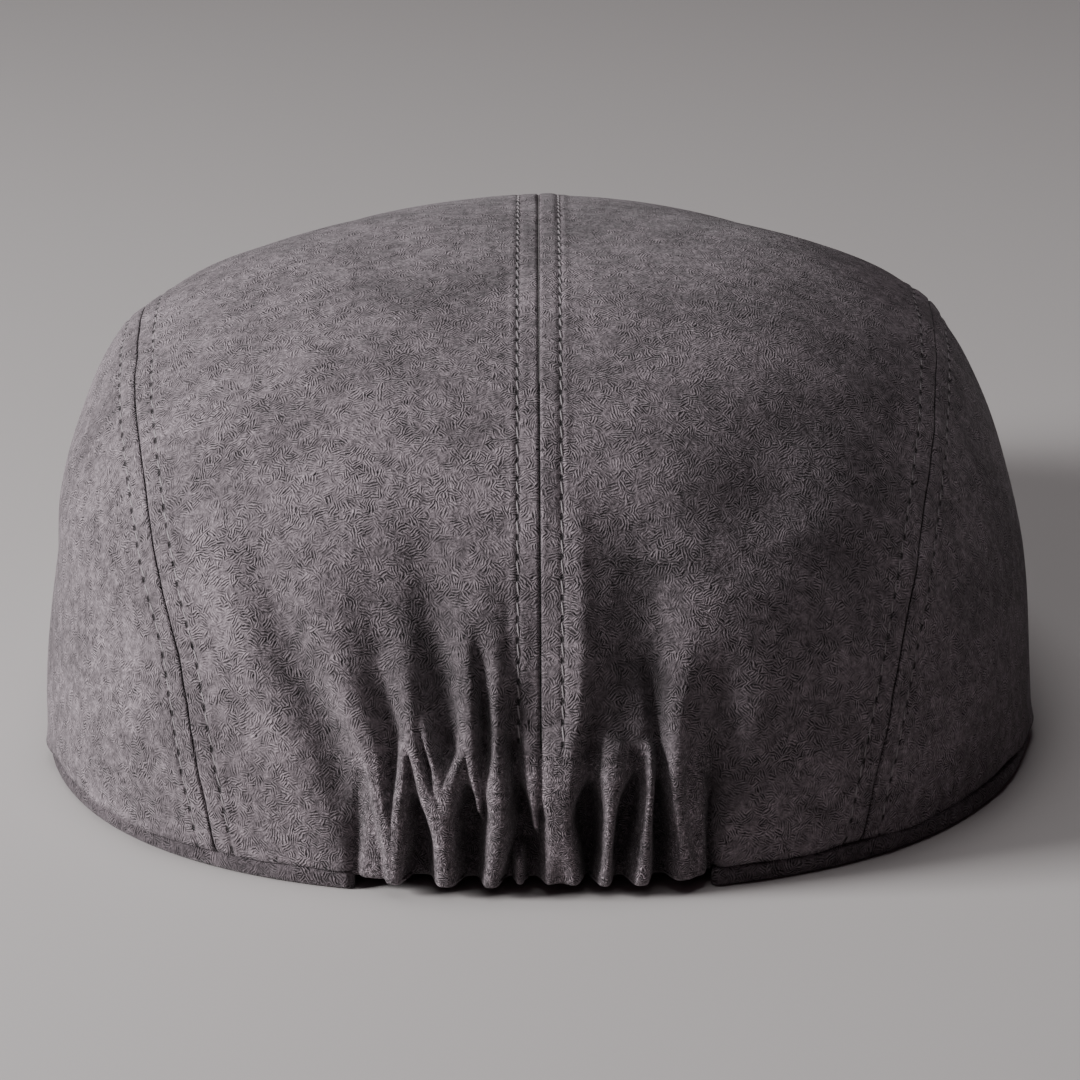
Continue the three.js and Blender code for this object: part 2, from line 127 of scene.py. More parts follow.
# A fold runs down the back through its stops. z: height, x: place from the centre seam,
# half: half of its visible width, push: how far it stands out, all in millimetres.
Stop = namedtuple("Stop", "z x half push")
PLEATS = {
    "left shoulder": [
        Stop(44, 37.5, 3.4, 0), Stop(34, 33, 2.9, 0.6), Stop(27, 29.6, 2.1, 1.2),
        Stop(22, 28.8, 1.6, 1.8), Stop(17, 27.9, 1.6, 2.3), Stop(13, 26.9, 1.7, 2.5),
        Stop(8, 26.3, 1.5, 2.5), Stop(2, 26.2, 1.3, 2.2)],
    "first left": [
        Stop(30, 24, 0.6, 0), Stop(28, 24.2, 0.8, 1.5), Stop(25, 24.1, 0.9, 2.0),
        Stop(20, 24.5, 1.2, 2.4), Stop(15, 25, 1.6, 2.5), Stop(10, 25.2, 1.7, 2.6),
        Stop(5, 25.7, 1.5, 2.5), Stop(2, 25.8, 1.5, 2.3)],
    "fork left": [
        Stop(47, 27, 2.8, 0), Stop(36, 24.2, 2.1, 0.8), Stop(28, 22.2, 1.3, 1.9),
        Stop(25, 21.4, 1.15, 2.3), Stop(22, 20.6, 1.3, 2.5), Stop(20, 19.8, 1.9, 2.5),
        Stop(17, 18.6, 2.6, 2.6), Stop(13, 17.4, 2.6, 2.7), Stop(10, 17.2, 2.2, 2.7),
        Stop(2, 16.8, 2.2, 2.5)],
    "fork middle": [
        Stop(35, 21.6, 1.0, 0), Stop(28, 19.4, 0.85, 2.0), Stop(24, 18.1, 1.0, 2.4),
        Stop(21, 17.6, 1.5, 2.5), Stop(16, 17.4, 1.8, 2.0), Stop(12, 17.3, 1.6, 0)],
    "fork right": [
        Stop(31, 13.2, 1.0, 0), Stop(27, 13.7, 1.0, 1.7), Stop(24, 15.2, 1.1, 2.3),
        Stop(21, 16.4, 1.7, 2.5), Stop(17, 16.9, 2.1, 2.6), Stop(12, 17.2, 1.8, 0)],
    "left wedge": [
        Stop(52, 15.6, 2.4, 0), Stop(40, 13.4, 2, 0.7), Stop(32, 12.7, 1.6, 1.4),
        Stop(27, 12.1, 1.3, 2), Stop(23, 11.6, 1, 1.8), Stop(19, 11, 0.6, 1.3),
        Stop(12, 10.4, 0.3, 0)],
    "second left": [
        Stop(48, 8.2, 2.0, 0), Stop(38, 7.4, 1.9, 0.8), Stop(31, 7.2, 1.6, 1.6),
        Stop(25, 7.7, 1.8, 2.4), Stop(15, 7.5, 2.3, 2.7), Stop(10, 7.8, 2.4, 2.7),
        Stop(5, 8.5, 1.9, 2.6), Stop(2, 9.2, 1.7, 2.4)],
    "seam strip": [
        Stop(33, 1.8, 1.8, 0), Stop(27, 1.8, 1.8, 1.3), Stop(22, 1.5, 1.5, 1.6),
        Stop(17, 1.2, 0.9, 1.3), Stop(9, 0.6, 0.3, 0)],
    "seam strip foot": [
        Stop(10, 3.9, 0.8, 0), Stop(6, 3.9, 0.9, 0.6), Stop(2, 3.8, 0.9, 0.8)],
    "first right": [
        Stop(30, -12.9, 1.6, 0), Stop(26, -12.6, 2.0, 2.0), Stop(22, -12.3, 1.9, 2.4),
        Stop(15, -11.9, 1.5, 2.6), Stop(8, -11.4, 1.2, 2.6), Stop(2, -10.8, 1.7, 2.4)],
    "second right": [
        Stop(29, -19.3, 0.5, 0), Stop(25, -19.3, 0.7, 2.0), Stop(21, -19.2, 0.8, 2.5),
        Stop(15, -18.6, 1.2, 2.6), Stop(8, -18, 1.7, 2.6), Stop(2, -17.3, 1.9, 2.5)],
    "third right": [
        Stop(52, -25, 2.6, 0), Stop(45, -25, 2.4, 0.15), Stop(39, -24.6, 2.2, 0.35),
        Stop(32, -23.6, 1.7, 1.1), Stop(25, -23.5, 1.5, 2.1), Stop(17, -23.7, 1.4, 2.3),
        Stop(10, -24.7, 1.4, 2), Stop(2, -25, 2, 1.3)],
}
CENTRE_PATCH = [
    Stop(33, -3.4, 3.2, 0), Stop(27, -3.5, 3.3, 1.8), Stop(20, -3, 2.9, 2.1),
    Stop(14, -2.9, 2.8, 2.1), Stop(9, -3.4, 3.2, 2.1), Stop(2, -3.8, 3.6, 1.9)]
# Loose folds also paint shade into the cloth's colour in their valleys, and light on their ridges.
LOOSE_FOLDS = {
    "valley beside the fork": [
        Stop(62, 30, 4.4, 0), Stop(52, 29, 4, -1.1), Stop(42, 28, 3.1, -1.9),
        Stop(35, 27.2, 2.4, -2.2), Stop(29, 26, 1.5, -2), Stop(24, 26, 1.1, -1),
        Stop(17, 26, 0.9, 0)],
    "wide left valley": [
        Stop(68, 21, 4.8, 0), Stop(59, 20.2, 4.3, -1.2), Stop(50, 19.2, 4.1, -2.7),
        Stop(42, 18, 3.4, -3.1), Stop(34, 16.9, 2.5, -2.7), Stop(28, 16.6, 1.7, -2.2),
        Stop(21, 16.6, 1.2, 0)],
    "dip along the seam": [
        Stop(60, 1, 4.5, 0), Stop(50, 1, 4.5, -0.7), Stop(42, 1, 4.5, -1.1),
        Stop(34, 0.8, 4.5, -1.5), Stop(28, 0.6, 4.5, -1.5), Stop(20, 0.5, 4.5, 0)],
    "valley beside the wedge": [
        Stop(50, 11.2, 1.4, 0), Stop(40, 10.2, 1.2, -1.5), Stop(34, 9.9, 1.0, -2.4),
        Stop(27, 9.6, 0.9, -2.4), Stop(19, 10, 0.9, 0)],
    "valley beside the seam": [
        Stop(60, 5.6, 1.4, 0), Stop(44, 5.4, 1.3, -0.6), Stop(31, 5.1, 1.3, -1.4),
        Stop(25, 4.7, 1.2, -2.6), Stop(20, 4.1, 1.1, -2.6), Stop(13, 3, 0.9, 0)],
    "ridge beside the seam": [
        Stop(78, -6, 1.6, 0), Stop(56, -7, 1.8, 0.7), Stop(44, -7.2, 1.8, 0.9),
        Stop(34, -7.2, 1.7, 0.5), Stop(26, -7, 1.4, 0)],
    "wide right valley": [
        Stop(72, -15, 6.2, 0), Stop(60, -17.4, 5.8, -1.4), Stop(50, -18, 5.4, -2.4),
        Stop(40, -17, 5.4, -2.7), Stop(33, -16, 5.4, -2.3), Stop(27, -15.4, 5.6, -1.4),
        Stop(22, -15.4, 5.6, 0)],
    "valley under the ridge": [
        Stop(42, -10.4, 1.5, 0), Stop(34, -9.6, 1.5, -1.1), Stop(26, -9, 1.3, -1.9),
        Stop(2, -8.7, 1.2, -1.4)],
    "valley at the third right": [
        Stop(48, -19.4, 1.8, 0), Stop(34, -20.3, 1.3, -1.8), Stop(26, -20.9, 1.0, -2.0),
        Stop(10, -21, 0.9, -1.0), Stop(4, -21, 0.9, 0)],
    "valley right of the third": [
        Stop(46, -32, 3.4, 0), Stop(35, -32, 3.4, -1.7), Stop(25, -31.6, 2.8, -1.7),
        Stop(14, -30.6, 1.6, -1.5), Stop(2, -30.4, 1, -1.2)],
    "right end": [
        Stop(26, -30.8, 1.2, 0), Stop(18, -30.5, 0.8, -1.7), Stop(8, -30.2, 0.7, -2.1),
        Stop(2, -30.2, 0.7, -1.6)],
    "right valley": [
        Stop(60, -46, 8, 0), Stop(52, -48, 8, -0.7), Stop(42, -48, 8, -0.9),
        Stop(32, -46, 7, -0.7), Stop(22, -43, 6, -0.4), Stop(11, -38, 4, 0)],
    "left slope": [
        Stop(62, 57, 4.8, 0), Stop(47, 52, 4.2, 0.3), Stop(37, 48.8, 3.6, 0.4),
        Stop(26, 46, 3.4, 0.4), Stop(11, 43, 3, 0)],
    "left valley": [
        Stop(64, 52, 4.4, 0), Stop(54, 48.6, 3.9, -1.3), Stop(46, 46, 3.6, -2.1),
        Stop(38, 42.6, 3.6, -2.4), Stop(30, 38.4, 3.2, -2.3), Stop(22, 36, 2.5, -1.9),
        Stop(12, 34.4, 1.9, -1.1), Stop(5, 33.8, 1.5, 0)],
    "left inner slope": [
        Stop(62, 41, 4, 0), Stop(48, 37.6, 3.4, 0.5), Stop(38, 34.4, 2.6, 0.7),
        Stop(28, 32.2, 2, 0.5), Stop(21, 31.4, 1.8, 0)],
    "left end": [
        Stop(25, 32, 1.4, 0), Stop(17, 32.4, 1.2, -1.5), Stop(8, 33, 1.0, -1.6),
        Stop(2, 33.3, 1.0, -1.2)],
    "right basin": [
        Stop(89, -46, 10, 0), Stop(81, -46, 10, -0.6), Stop(74, -44, 10.5, -1.6),
        Stop(66, -40, 11, -2.2), Stop(58, -37, 12, -1.1), Stop(51, -36, 12, 0)],
    "patch's foot": [
        Stop(9, -3.2, 1.3, 0), Stop(2, -3.2, 1.5, -1.6)],
}
PLEAT_POWER, PATCH_POWER, LOOSE_POWER = 3.5, 6, 2  # the higher, the steeper a fold's sides
HALVING = 0.69  # a fold stands out half as far at its half width
BEHIND = Run(0, 0.4 * BACK_REACH)  # folds grow on the way back from the top point

# Hollows between the pleats, whose open share is also painted into the cloth's colour as shade
GATHER_HOLLOW = 5.4 * MM  # the cloth between the pleats lies this far in
FOOT_SHARE, FOOT_RUN = 0.5, Run(0, 0.45 * CASING_TOP)  # shallower at the opening
HOLLOW_CLOSE = Run(24.5 * MM, 7 * MM)  # height over which they close
CLOSE_WAVE, CLOSE_WAVE_RUN = 1.2 * MM, 2.1 * MM  # that height goes up and down
HOLLOW_END = Run(4.5 * MM, 4 * MM)  # from the casing's end inwards
PLEAT_SPREAD, PLEAT_SPREAD_RUN = 2.2, Run(15 * MM, 13 * MM)  # higher up, pleats fill them more

# Shade painted into the cloth's colour in the folds, and light painted on the ridges
SHADED_DEPTH = 3.4 * MM  # a loose valley of this depth is as dark as a hollow
SHADE_SPREAD = 1.5
RIDGE_PAINTED_LIGHT = -0.3  # on the ridges

# Where the worn crown leaves its smooth form, fitted to the photograph's outline.
# The runs go up from the surface below, or out sideways from the centre seam.
CENTRE_RIDGE, CENTRE_RIDGE_SPREAD = 1 * MM, 13 * MM  # along the centre seam
RIDGE_BUILD, RIDGE_FADE = Run(40 * MM, 24 * MM), Run(74 * MM, 18 * MM)
SUNK_TOP, SUNK_TOP_BUILD = 0.7 * MM, Run(80 * MM, 12 * MM)
FLAT_RIGHT, FLAT_RIGHT_OUT, FLAT_RIGHT_UP = 0.8 * MM, Run(35 * MM, 35 * MM), Run(35 * MM, 20 * MM)
FULL_LEFT, FULL_LEFT_OUT, FULL_LEFT_UP = 1.2 * MM, Run(45 * MM, 25 * MM), Run(38 * MM, 12 * MM)
FULL_LEFT_FADE = Run(74 * MM, 9 * MM)
BROAD_WAVES, BROAD_SIZE = 0.5 * MM, 42 * MM
FINE_WAVES, FINE_SIZE = 0.22 * MM, 13 * MM

# Lower edge of the cloth
TUCK, TUCK_SWAY = 0.2 * MM, 0.45 * MM  # it goes in a little over the turned edge, unevenly
TUCK_REACH, TUCK_SWAY_SIZE = 1 * MM, 9 * MM
RIM_SLANT = 1.5  # length of cloth over one of plan, above the peak
UPRIGHT = -20 * MM  # behind this line the cloth stands up from its edge
PAST_RIM = 1.001  # share beyond which only the casing reaches, as it hangs lower
CASING_EDGE = Run(CASING_TOP - 1 * MM, 2 * MM)  # the centre seam's relief ends here
CENTRE_SEAM_FOOT = CASING_TOP + 0.3 * MM  # and its dark line here
LEVEL_FADE = Run(CASING_TOP, 0.25 * CASING_TOP)  # below it folds are pushed out level

# Ways of working things out
ROUNDS = 40  # in which a place is narrowed down
SEARCHED = 0.3, 1.1  # shares of the way out between which the crown's heights are looked for
NUDGE = 1e-3  # share of the crown's width by which a slope is felt out
WAVES, WAVES_HEIGHT = 10, 3.2  # in a ripple, and how high they reach together
UNSEWN = 1.0  # a distance to the sewing at which nothing of it shows


def ease(share):
    s = np.clip(share, 0.0, 1.0)
    return s * s * (3 - 2 * s)


def grown(place, run):
    """Share from 0 at the start of a run to 1 at its end."""
    return ease((place - run.start) / run.length)


def section_value(column, angle):
    """Value of a column of the sections at an angle from the back, on a smooth curve."""
    rows = np.array([getattr(s, column) for s in SECTIONS])
    last = len(rows) - 1
    place = np.clip(np.abs(angle) / math.pi * last, 0, last - 1e-9)
    row = np.floor(place).astype(int)
    f = place - row
    a, b, c, d = (rows[last - np.abs(last - np.abs(row + k))] for k in (-1, 0, 1, 2))
    curve = 2 * b + (c - a) * f + (2 * a - 5 * b + 4 * c - d) * f**2
    return 0.5 * (curve + (3 * b - a - 3 * c + d) * f**3)


def plan_radius(angle, front=FRONT_REACH):
    """Distance from the top point to the crown's edge, or to the peak's with its own reach."""
    along = np.cos(angle)
    reach = np.where(along >= 0, BACK_REACH, front)
    power = np.where(along >= 0, BACK_SQUARENESS, FRONT_SQUARENESS)
    across = np.abs(np.sin(angle)) / HALF_WIDTH
    return (across**power + (np.abs(along) / reach) ** power) ** (-1 / power)


def peak_bend(x, y):
    return (y + FRONT_REACH + PEAK_REACH) * PEAK_SLOPE - x * x / (2 * PEAK_ARCH)


def peak_drop():
    """Height by which the peak is lowered, so that its round outer edge meets the surface."""
    # Places on the outer edge, from its outermost point down round to the underside
    angle, turn = np.meshgrid(np.linspace(PEAK_CORNER, math.pi, 200), np.linspace(0, 1.6, 40))
    outer = plan_radius(angle, FRONT_REACH + PEAK_REACH)
    radius = outer - PEAK_THICKNESS / 2 * (1 - np.cos(turn))
    edge = PEAK_THICKNESS / 2 * (1 - np.sin(turn))
    return (peak_bend(radius * np.sin(angle), radius * np.cos(angle)) + edge).min()


PEAK_DROP = peak_drop()


def peak_underside(x, y):
    return peak_bend(x, y) - PEAK_DROP


def seat_height(x, y):
    """Height of what carries the crown's lower edge: the band, then the peak."""
    angle = np.abs(np.arctan2(x, y))
    run = PEAK_TIP / HALF_WIDTH
    over_band = BAND_HEIGHT + SEAM_GAP
    over_peak = peak_underside(x, y) + PEAK_THICKNESS + SEAM_GAP
    climb = ease((angle - PEAK_CORNER + 2 * run) / run)
    above = over_band + climb * np.maximum(0, over_peak - over_band)
    on_peak = ease((angle - PEAK_CORNER) / run)
    return above + on_peak * (over_peak - above)


def crown_point(across, along):
    """Smooth crown without folds. Across and along are shares of the way to its edge."""
    angle = np.arctan2(across, along)
    t = 1 - np.hypot(across, along)
    radius = plan_radius(angle)
    foot = seat_height(radius * np.sin(angle), radius * np.cos(angle))
    swell = radius + section_value("lean", angle) * HALF_WIDTH
    climb = foot + section_value("rise", angle) * CROWN_HEIGHT
    cap = radius * section_value("cap", angle)
    b0, b1, b2, b3 = (1 - t) ** 3, 3 * t * (1 - t) ** 2, 3 * t * t * (1 - t), t**3
    out = b0 * radius + b1 * swell + b2 * cap
    z = b0 * foot + b1 * climb + (b2 + b3) * CROWN_HEIGHT
    return np.stack([out * np.sin(angle), out * np.cos(angle), z], -1)


def share_at_height(angle, height):
    """Share of the way from the top point at which the crown has a height."""
    low, high = (np.full_like(angle, share) for share in SEARCHED)
    for _ in range(ROUNDS):
        middle = (low + high) / 2
        under = crown_point(middle * np.sin(angle), middle * np.cos(angle))[..., 2] < height
        low, high = np.where(under, low, middle), np.where(under, middle, high)
    return (low + high) / 2


def seam_across(along):
    return SEAM_SHARE + SEAM_FLARE * (np.maximum(0, along) / SEAM_FOOT) ** 4


def line_end(share, side, rim):
    """Where the line at a share of the way to the side seam ends, ahead or behind."""
    along = np.full_like(share, float(side))
    for _ in range(ROUNDS):
        across = share * seam_across(along)
        angle = np.arctan2(across, along)
        along = side * np.sqrt(np.maximum(0, rim(angle) ** 2 - across**2))
    return along


def rim_share(angle):
    return np.ones_like(angle)


def casing_seam_share(angle):
    return share_at_height(angle, CASING_TOP)


def casing_end(side):
    """Angle from the back at which the casing ends on one side."""
    half = CASING_HALF + side * CASING_SHIFT
    low, high = 0.0, math.pi / 3
    for _ in range(ROUNDS):
        middle = (low + high) / 2
        r = casing_seam_share(np.array([middle]))[0]
        point = crown_point(r * math.sin(middle), r * math.cos(middle))
        low, high = (middle, high) if point[0] < half else (low, middle)
    return (low + high) / 2


def run_of_fold(stops, x, z, power, widen=1.0):
    """Push of one fold and its share of its full height, at places of the back."""
    heights = np.array([s.z for s in stops])[::-1] * MM
    columns = [np.array([getattr(s, c) for s in stops])[::-1] * MM for c in ("x", "half", "push")]
    row = np.clip(np.searchsorted(heights, z) - 1, 0, len(heights) - 2)
    f = np.clip((z - heights[row]) / (heights[row + 1] - heights[row]), 0, 1)
    centre, half = (c[row] + (c[row + 1] - c[row]) * f for c in columns[:2])
    push = columns[2][row] + (columns[2][row + 1] - columns[2][row]) * ease(f)
    share = np.exp(-HALVING * (np.abs(x - centre) / (half * widen)) ** power)
    # From half of its greatest push on, a fold counts in full.
    alive = np.clip(np.abs(push) / (0.5 * np.abs(columns[2]).max()), 0, 1)
    return push * share, share * alive


def fold_push(x, y, z):
    """How far pleats and loose folds push the cloth out, and the shade painted into its colour
    there.
    """
    behind = grown(y, BEHIND)
    inside = grown(CASING_HALF - np.abs(x - CASING_SHIFT), HOLLOW_END)
    closing = grown(z - CLOSE_WAVE * np.sin(x / CLOSE_WAVE_RUN), HOLLOW_CLOSE)
    widen = 1 + PLEAT_SPREAD * grown(z, PLEAT_SPREAD_RUN)
    crest, filled = np.zeros_like(x), np.zeros_like(x)
    gathers = [(stops, PLEAT_POWER) for stops in PLEATS.values()] + [(CENTRE_PATCH, PATCH_POWER)]
    for stops, power in gathers:
        crest = np.maximum(crest, run_of_fold(stops, x, z, power)[0])
        filled = 1 - (1 - filled) * (1 - run_of_fold(stops, x, z, power, widen)[1])
    open_share = inside * (1 - closing) * (1 - filled)
    hollow = GATHER_HOLLOW * (FOOT_SHARE + (1 - FOOT_SHARE) * grown(z, FOOT_RUN))
    push = crest - hollow * open_share
    # Painted shade: the open hollows are darkened in the colour, loose valleys too, and loose
    # ridges lightened.
    shade = open_share
    for stops in LOOSE_FOLDS.values():
        push = push + run_of_fold(stops, x, z, LOOSE_POWER)[0]
        shade = shade - run_of_fold(stops, x, z, LOOSE_POWER, SHADE_SPREAD)[0] / SHADED_DEPTH
    return behind * push, behind * np.clip(shade, RIDGE_PAINTED_LIGHT, 1)


def ripple(points, size, seed):
    """Smooth wandering value from about -1 to 1, with features of about a size."""
    source = np.random.default_rng(seed)
    total = 0
    for _ in range(WAVES):
        way = source.normal(size=3)
        turns = source.uniform(0.5, 1.3) * math.pi / size / np.linalg.norm(way)
        total = total + np.sin(points @ way * turns + source.uniform(0, 2 * math.pi))
    return total / WAVES_HEIGHT


class SeamLine:
    """A seam as a dense line of points on the smooth crown."""

    def __init__(self, across, along):
        self.across, self.along = across, along
        self.points = crown_point(across, along)
        steps = np.linalg.norm(np.diff(self.points, axis=0), axis=1)
        self.run = np.concatenate([[0], np.cumsum(steps)])
        self.tree = KDTree(len(self.points))
        for i, p in enumerate(self.points):
            self.tree.insert(p, i)
        self.tree.balance()

    def distances(self, points):
        """Distance from the seam and place along it, for each point."""
        flat = points.reshape(-1, 3)
        away, run = np.empty(len(flat)), np.empty(len(flat))
        for k, p in enumerate(flat):
            _, i, away[k] = self.tree.find(p)
            run[k] = self.run[i]
        shape = points.shape[:-1]
        return away.reshape(shape), run.reshape(shape)


RIM_BEHIND = line_end(np.array([0.0, 1.0]), 1, casing_seam_share)
SEAM_ENDS = [line_end(np.array([1.0]), way, rim_share)[0] for way in (-1, 1)]
LINE_POINTS = 1500
CENTRE_SEAM = SeamLine(np.zeros(LINE_POINTS), np.linspace(-1, RIM_BEHIND[0], LINE_POINTS))
SIDE_ALONG = np.linspace(*SEAM_ENDS, LINE_POINTS)
SIDE_SEAM = SeamLine(seam_across(SIDE_ALONG), SIDE_ALONG)


def sewn_relief(away, run, points):
    """Relief that a seam presses into the cloth beside it."""
    rolled = -SEAM_ROLL * np.exp(-((away / SEAM_ROLL_REACH) ** 2))
    allowance = ALLOWANCE * (1 - grown(away, ALLOWANCE_END))
    row = np.exp(-(((away - TOPSTITCH) / ROW_REACH) ** 2))
    pull = 0.5 + 0.5 * np.cos(2 * math.pi * run / STITCH_PITCH)
    pressed = -(ROW_DEPTH + ROW_PULL * pull) * row
    near = np.exp(-((away / PUCKER_REACH) ** 2))
    pucker = PUCKER * near * ripple(points, PUCKER_SIZE, 2)
    return rolled + allowance + pressed + pucker


def worn_push(points, centre_away):
    """Push of the slow waves, of the centre ridge, of the sunk top and of the uneven sides."""
    x, z = points[..., 0], points[..., 2]
    waves = BROAD_WAVES * ripple(points, BROAD_SIZE, 5) + FINE_WAVES * ripple(points, FINE_SIZE, 8)
    ridge = grown(z, RIDGE_BUILD) * (1 - grown(z, RIDGE_FADE))
    ridge = CENTRE_RIDGE * ridge * np.exp(-centre_away / CENTRE_RIDGE_SPREAD)
    sunk = SUNK_TOP * grown(z, SUNK_TOP_BUILD)
    flat_right = FLAT_RIGHT * grown(-x, FLAT_RIGHT_OUT) * grown(z, FLAT_RIGHT_UP)
    full_left = FULL_LEFT * grown(x, FULL_LEFT_OUT) * grown(z, FULL_LEFT_UP)
    return waves + ridge - sunk - flat_right + full_left * (1 - grown(z, FULL_LEFT_FADE))


def rim_distance(base, across, along):
    """Distance to the lower edge: the height above the band, or roughly so above the peak."""
    inwards = np.maximum(0, 1 - np.hypot(across, along)) * plan_radius(np.arctan2(across, along))
    above = np.maximum(0, base[..., 2] - BAND_HEIGHT)
    return np.where(base[..., 1] > UPRIGHT, above, inwards * RIM_SLANT)


def crown_normal(across, along):
    """Point of the smooth crown, and the way that the cloth faces there."""
    base = crown_point(across, along)
    to_side = crown_point(across + NUDGE, along) - base
    to_back = crown_point(across, along + NUDGE) - base
    normal = np.cross(to_side, to_back)
    return base, normal / np.linalg.norm(normal, axis=-1, keepdims=True)


def cloth(across, along, side):
    """Finished surface of the crown on one side, and its sewing data.

    The sewing data of a point are its place along the nearest seam, the distance to that
    seam, the distance to the lower edge, and the shade painted into its colour by its fold:
    1 at the bottom of a hollow, 0 where the cloth is smooth, a little less on a ridge as painted
    light.
    """
    base, normal = crown_normal(across, along)
    height = base[..., 2]
    centre_away, centre_run = CENTRE_SEAM.distances(base)
    side_away, side_run = SIDE_SEAM.distances(base)
    own = base.copy()
    own[..., 0] *= side
    rim = rim_distance(base, across, along)
    in_casing = (np.abs(own[..., 0] - CASING_SHIFT) < CASING_HALF) & (own[..., 1] > 0)

    push, shade = fold_push(own[..., 0], own[..., 1], own[..., 2])
    push = push + sewn_relief(side_away, side_run, own)
    push = push + grown(height, CASING_EDGE) * sewn_relief(centre_away, centre_run, own)
    push = push + worn_push(own, centre_away)
    tuck = np.where(in_casing, 0, np.exp(-((rim / TUCK_REACH) ** 2)))
    push = push - (TUCK + TUCK_SWAY * ripple(own, TUCK_SWAY_SIZE, 11)) * tuck
    normal[..., 2] *= 1 - grown(base[..., 1], BEHIND) * (1 - grown(height, LEVEL_FADE))
    placed = base + normal * push[..., None]
    floor = seat_height(placed[..., 0], placed[..., 1])
    low = (placed[..., 2] < floor) & (np.hypot(across, along) < PAST_RIM)
    placed[..., 2] = np.where(low, floor, placed[..., 2])
    placed[..., 0] *= side

    nearest = centre_away < side_away
    run = np.where(nearest, centre_run, side_run)
    away = np.where(nearest, centre_away, side_away)
    away = np.where(nearest & (height < CENTRE_SEAM_FOOT), UNSEWN, away)
    return placed, np.stack([run, away, np.where(in_casing, UNSEWN, rim), shade], -1)


def to_frame(points):
    """Places the crown's own points in the frame, with the slight skew of the soft cap."""
    placed = points.copy()
    placed[..., 1] += SIDE_SKEW * points[..., 0] / HALF_WIDTH + CROWN_Y
    return placed


def finish_mesh(name, bm, sewing=None):
    """Object of a bmesh, smooth shaded, with its sewing data and painted fold shade as point
    attributes.
    """
    mesh = bpy.data.meshes.new(name)
    bm.to_mesh(mesh)
    bm.free()
    if sewing is not None:
        values = sewing.astype(np.float32)
        marks = mesh.attributes.new("sewing", "FLOAT_VECTOR", "POINT").data
        marks.foreach_set("vector", values[:, :3].ravel())
        # Shade painted into the cloth's colour in its folds, and light painted on its ridges
        depth = mesh.attributes.new("painted fold shade", "FLOAT", "POINT").data
        depth.foreach_set("value", values[:, 3].copy())
    mesh.polygons.foreach_set("use_smooth", np.ones(len(mesh.polygons), bool))
    piece = bpy.data.objects.new(name, mesh)
    bpy.context.scene.collection.objects.link(piece)
    return piece


def grid_piece(name, columns, rows, place, turned, wall=CLOTH_WALL, kept=None):
    """A sheet of cloth from a grid. place(column, row) gives its points and sewing data."""
    bm = bmesh.new()
    bmesh.ops.create_grid(bm, x_segments=columns, y_segments=rows, size=0.5)
    if kept is not None:
        middles = {f: (f.calc_center_median().xy + Vector((0.5, 0.5))) for f in bm.faces}
        gone = [f for f, m in middles.items() if not kept(m.x * columns, m.y * rows)]
        bmesh.ops.delete(bm, geom=gone, context="FACES")
    if turned:
        bmesh.ops.reverse_faces(bm, faces=bm.faces[:])
    cells = np.array([v.co[:2] for v in bm.verts]) + 0.5
    column = np.rint(cells[:, 0] * columns).astype(int)
    row = np.rint(cells[:, 1] * rows).astype(int)
    every = np.meshgrid(np.arange(columns + 1), np.arange(rows + 1), indexing="ij")
    points, sewing = place(*every)
    for v, p in zip(bm.verts, to_frame(points)[column, row]):
        v.co = p
    for edge in bm.edges:
        edge.smooth = not edge.is_boundary
    piece = finish_mesh(name, bm, sewing[column, row])
    solid = piece.modifiers.new("cloth wall", "SOLIDIFY")
    solid.thickness = wall
    solid.offset = -1
    return piece


def tube_piece(name, stations, corners, place):
    """A closed body swept along stations. place(station, corner) gives its points."""
    bm = bmesh.new()
    bmesh.ops.create_cone(bm, cap_ends=True, segments=corners, radius1=1, radius2=1, depth=1)
    sides = [e for e in bm.edges if abs(e.verts[0].co.z - e.verts[1].co.z) > 0.5]
    bmesh.ops.subdivide_edges(bm, edges=sides, cuts=stations - 1, use_grid_fill=False)
    turn = min(math.atan2(v.co.y, v.co.x) % (2 * math.pi / corners) for v in bm.verts)
    cells = np.array([tuple(v.co) for v in bm.verts])
    station = np.rint((cells[:, 2] + 0.5) * stations).astype(int)
    angle = np.arctan2(cells[:, 1], cells[:, 0]) - turn
    corner = np.rint(angle / (2 * math.pi) * corners).astype(int) % corners
    every = np.meshgrid(np.arange(stations + 1), np.arange(corners + 1), indexing="ij")
    points = place(*every)
    for v, p in zip(bm.verts, to_frame(points)[station, corner]):
        v.co = p
    bmesh.ops.recalc_face_normals(bm, faces=bm.faces[:])
    unsewn = np.tile([0.0, UNSEWN, UNSEWN, 0.0], (len(bm.verts), 1))
    return finish_mesh(name, bm, unsewn)


# Cells of the cloth, and how much they crowd together at its seams and gathers
OVER_CASING, BESIDE_SEAM = 100, 60
ALONG_CROWN, BESIDE_CASING = 210, 30
SIDE_COLUMNS = 84
CASING_COLUMNS, CASING_ROWS, TURNED_ROWS = 320, 56, 10
CROWD_AT_SEAM, CROWD_AT_CASING, CROWD_AT_CENTRE, CROWD_IN_BAND = 0.7, 0.5, 0.3, 0.6

# Turned lower edge of the casing
TURNED_EDGE = 1 * MM  # radius
TURNED_ANGLE = 0.6 * math.pi
TURNED_DROP = 0.2 * MM  # by which it is built below the casing's foot


def crowded_start(share, thin=CROWD_AT_SEAM):
    """Shares that crowd together near 0."""
    return (1 - thin) * share + thin * share**2


def notch_share(end):
    """Share of the way to the side seam at which the top panel is cut out for the casing."""
    seam = casing_seam_share(np.array([end]))[0]
    return seam * math.sin(end) / seam_across(seam * math.cos(end))


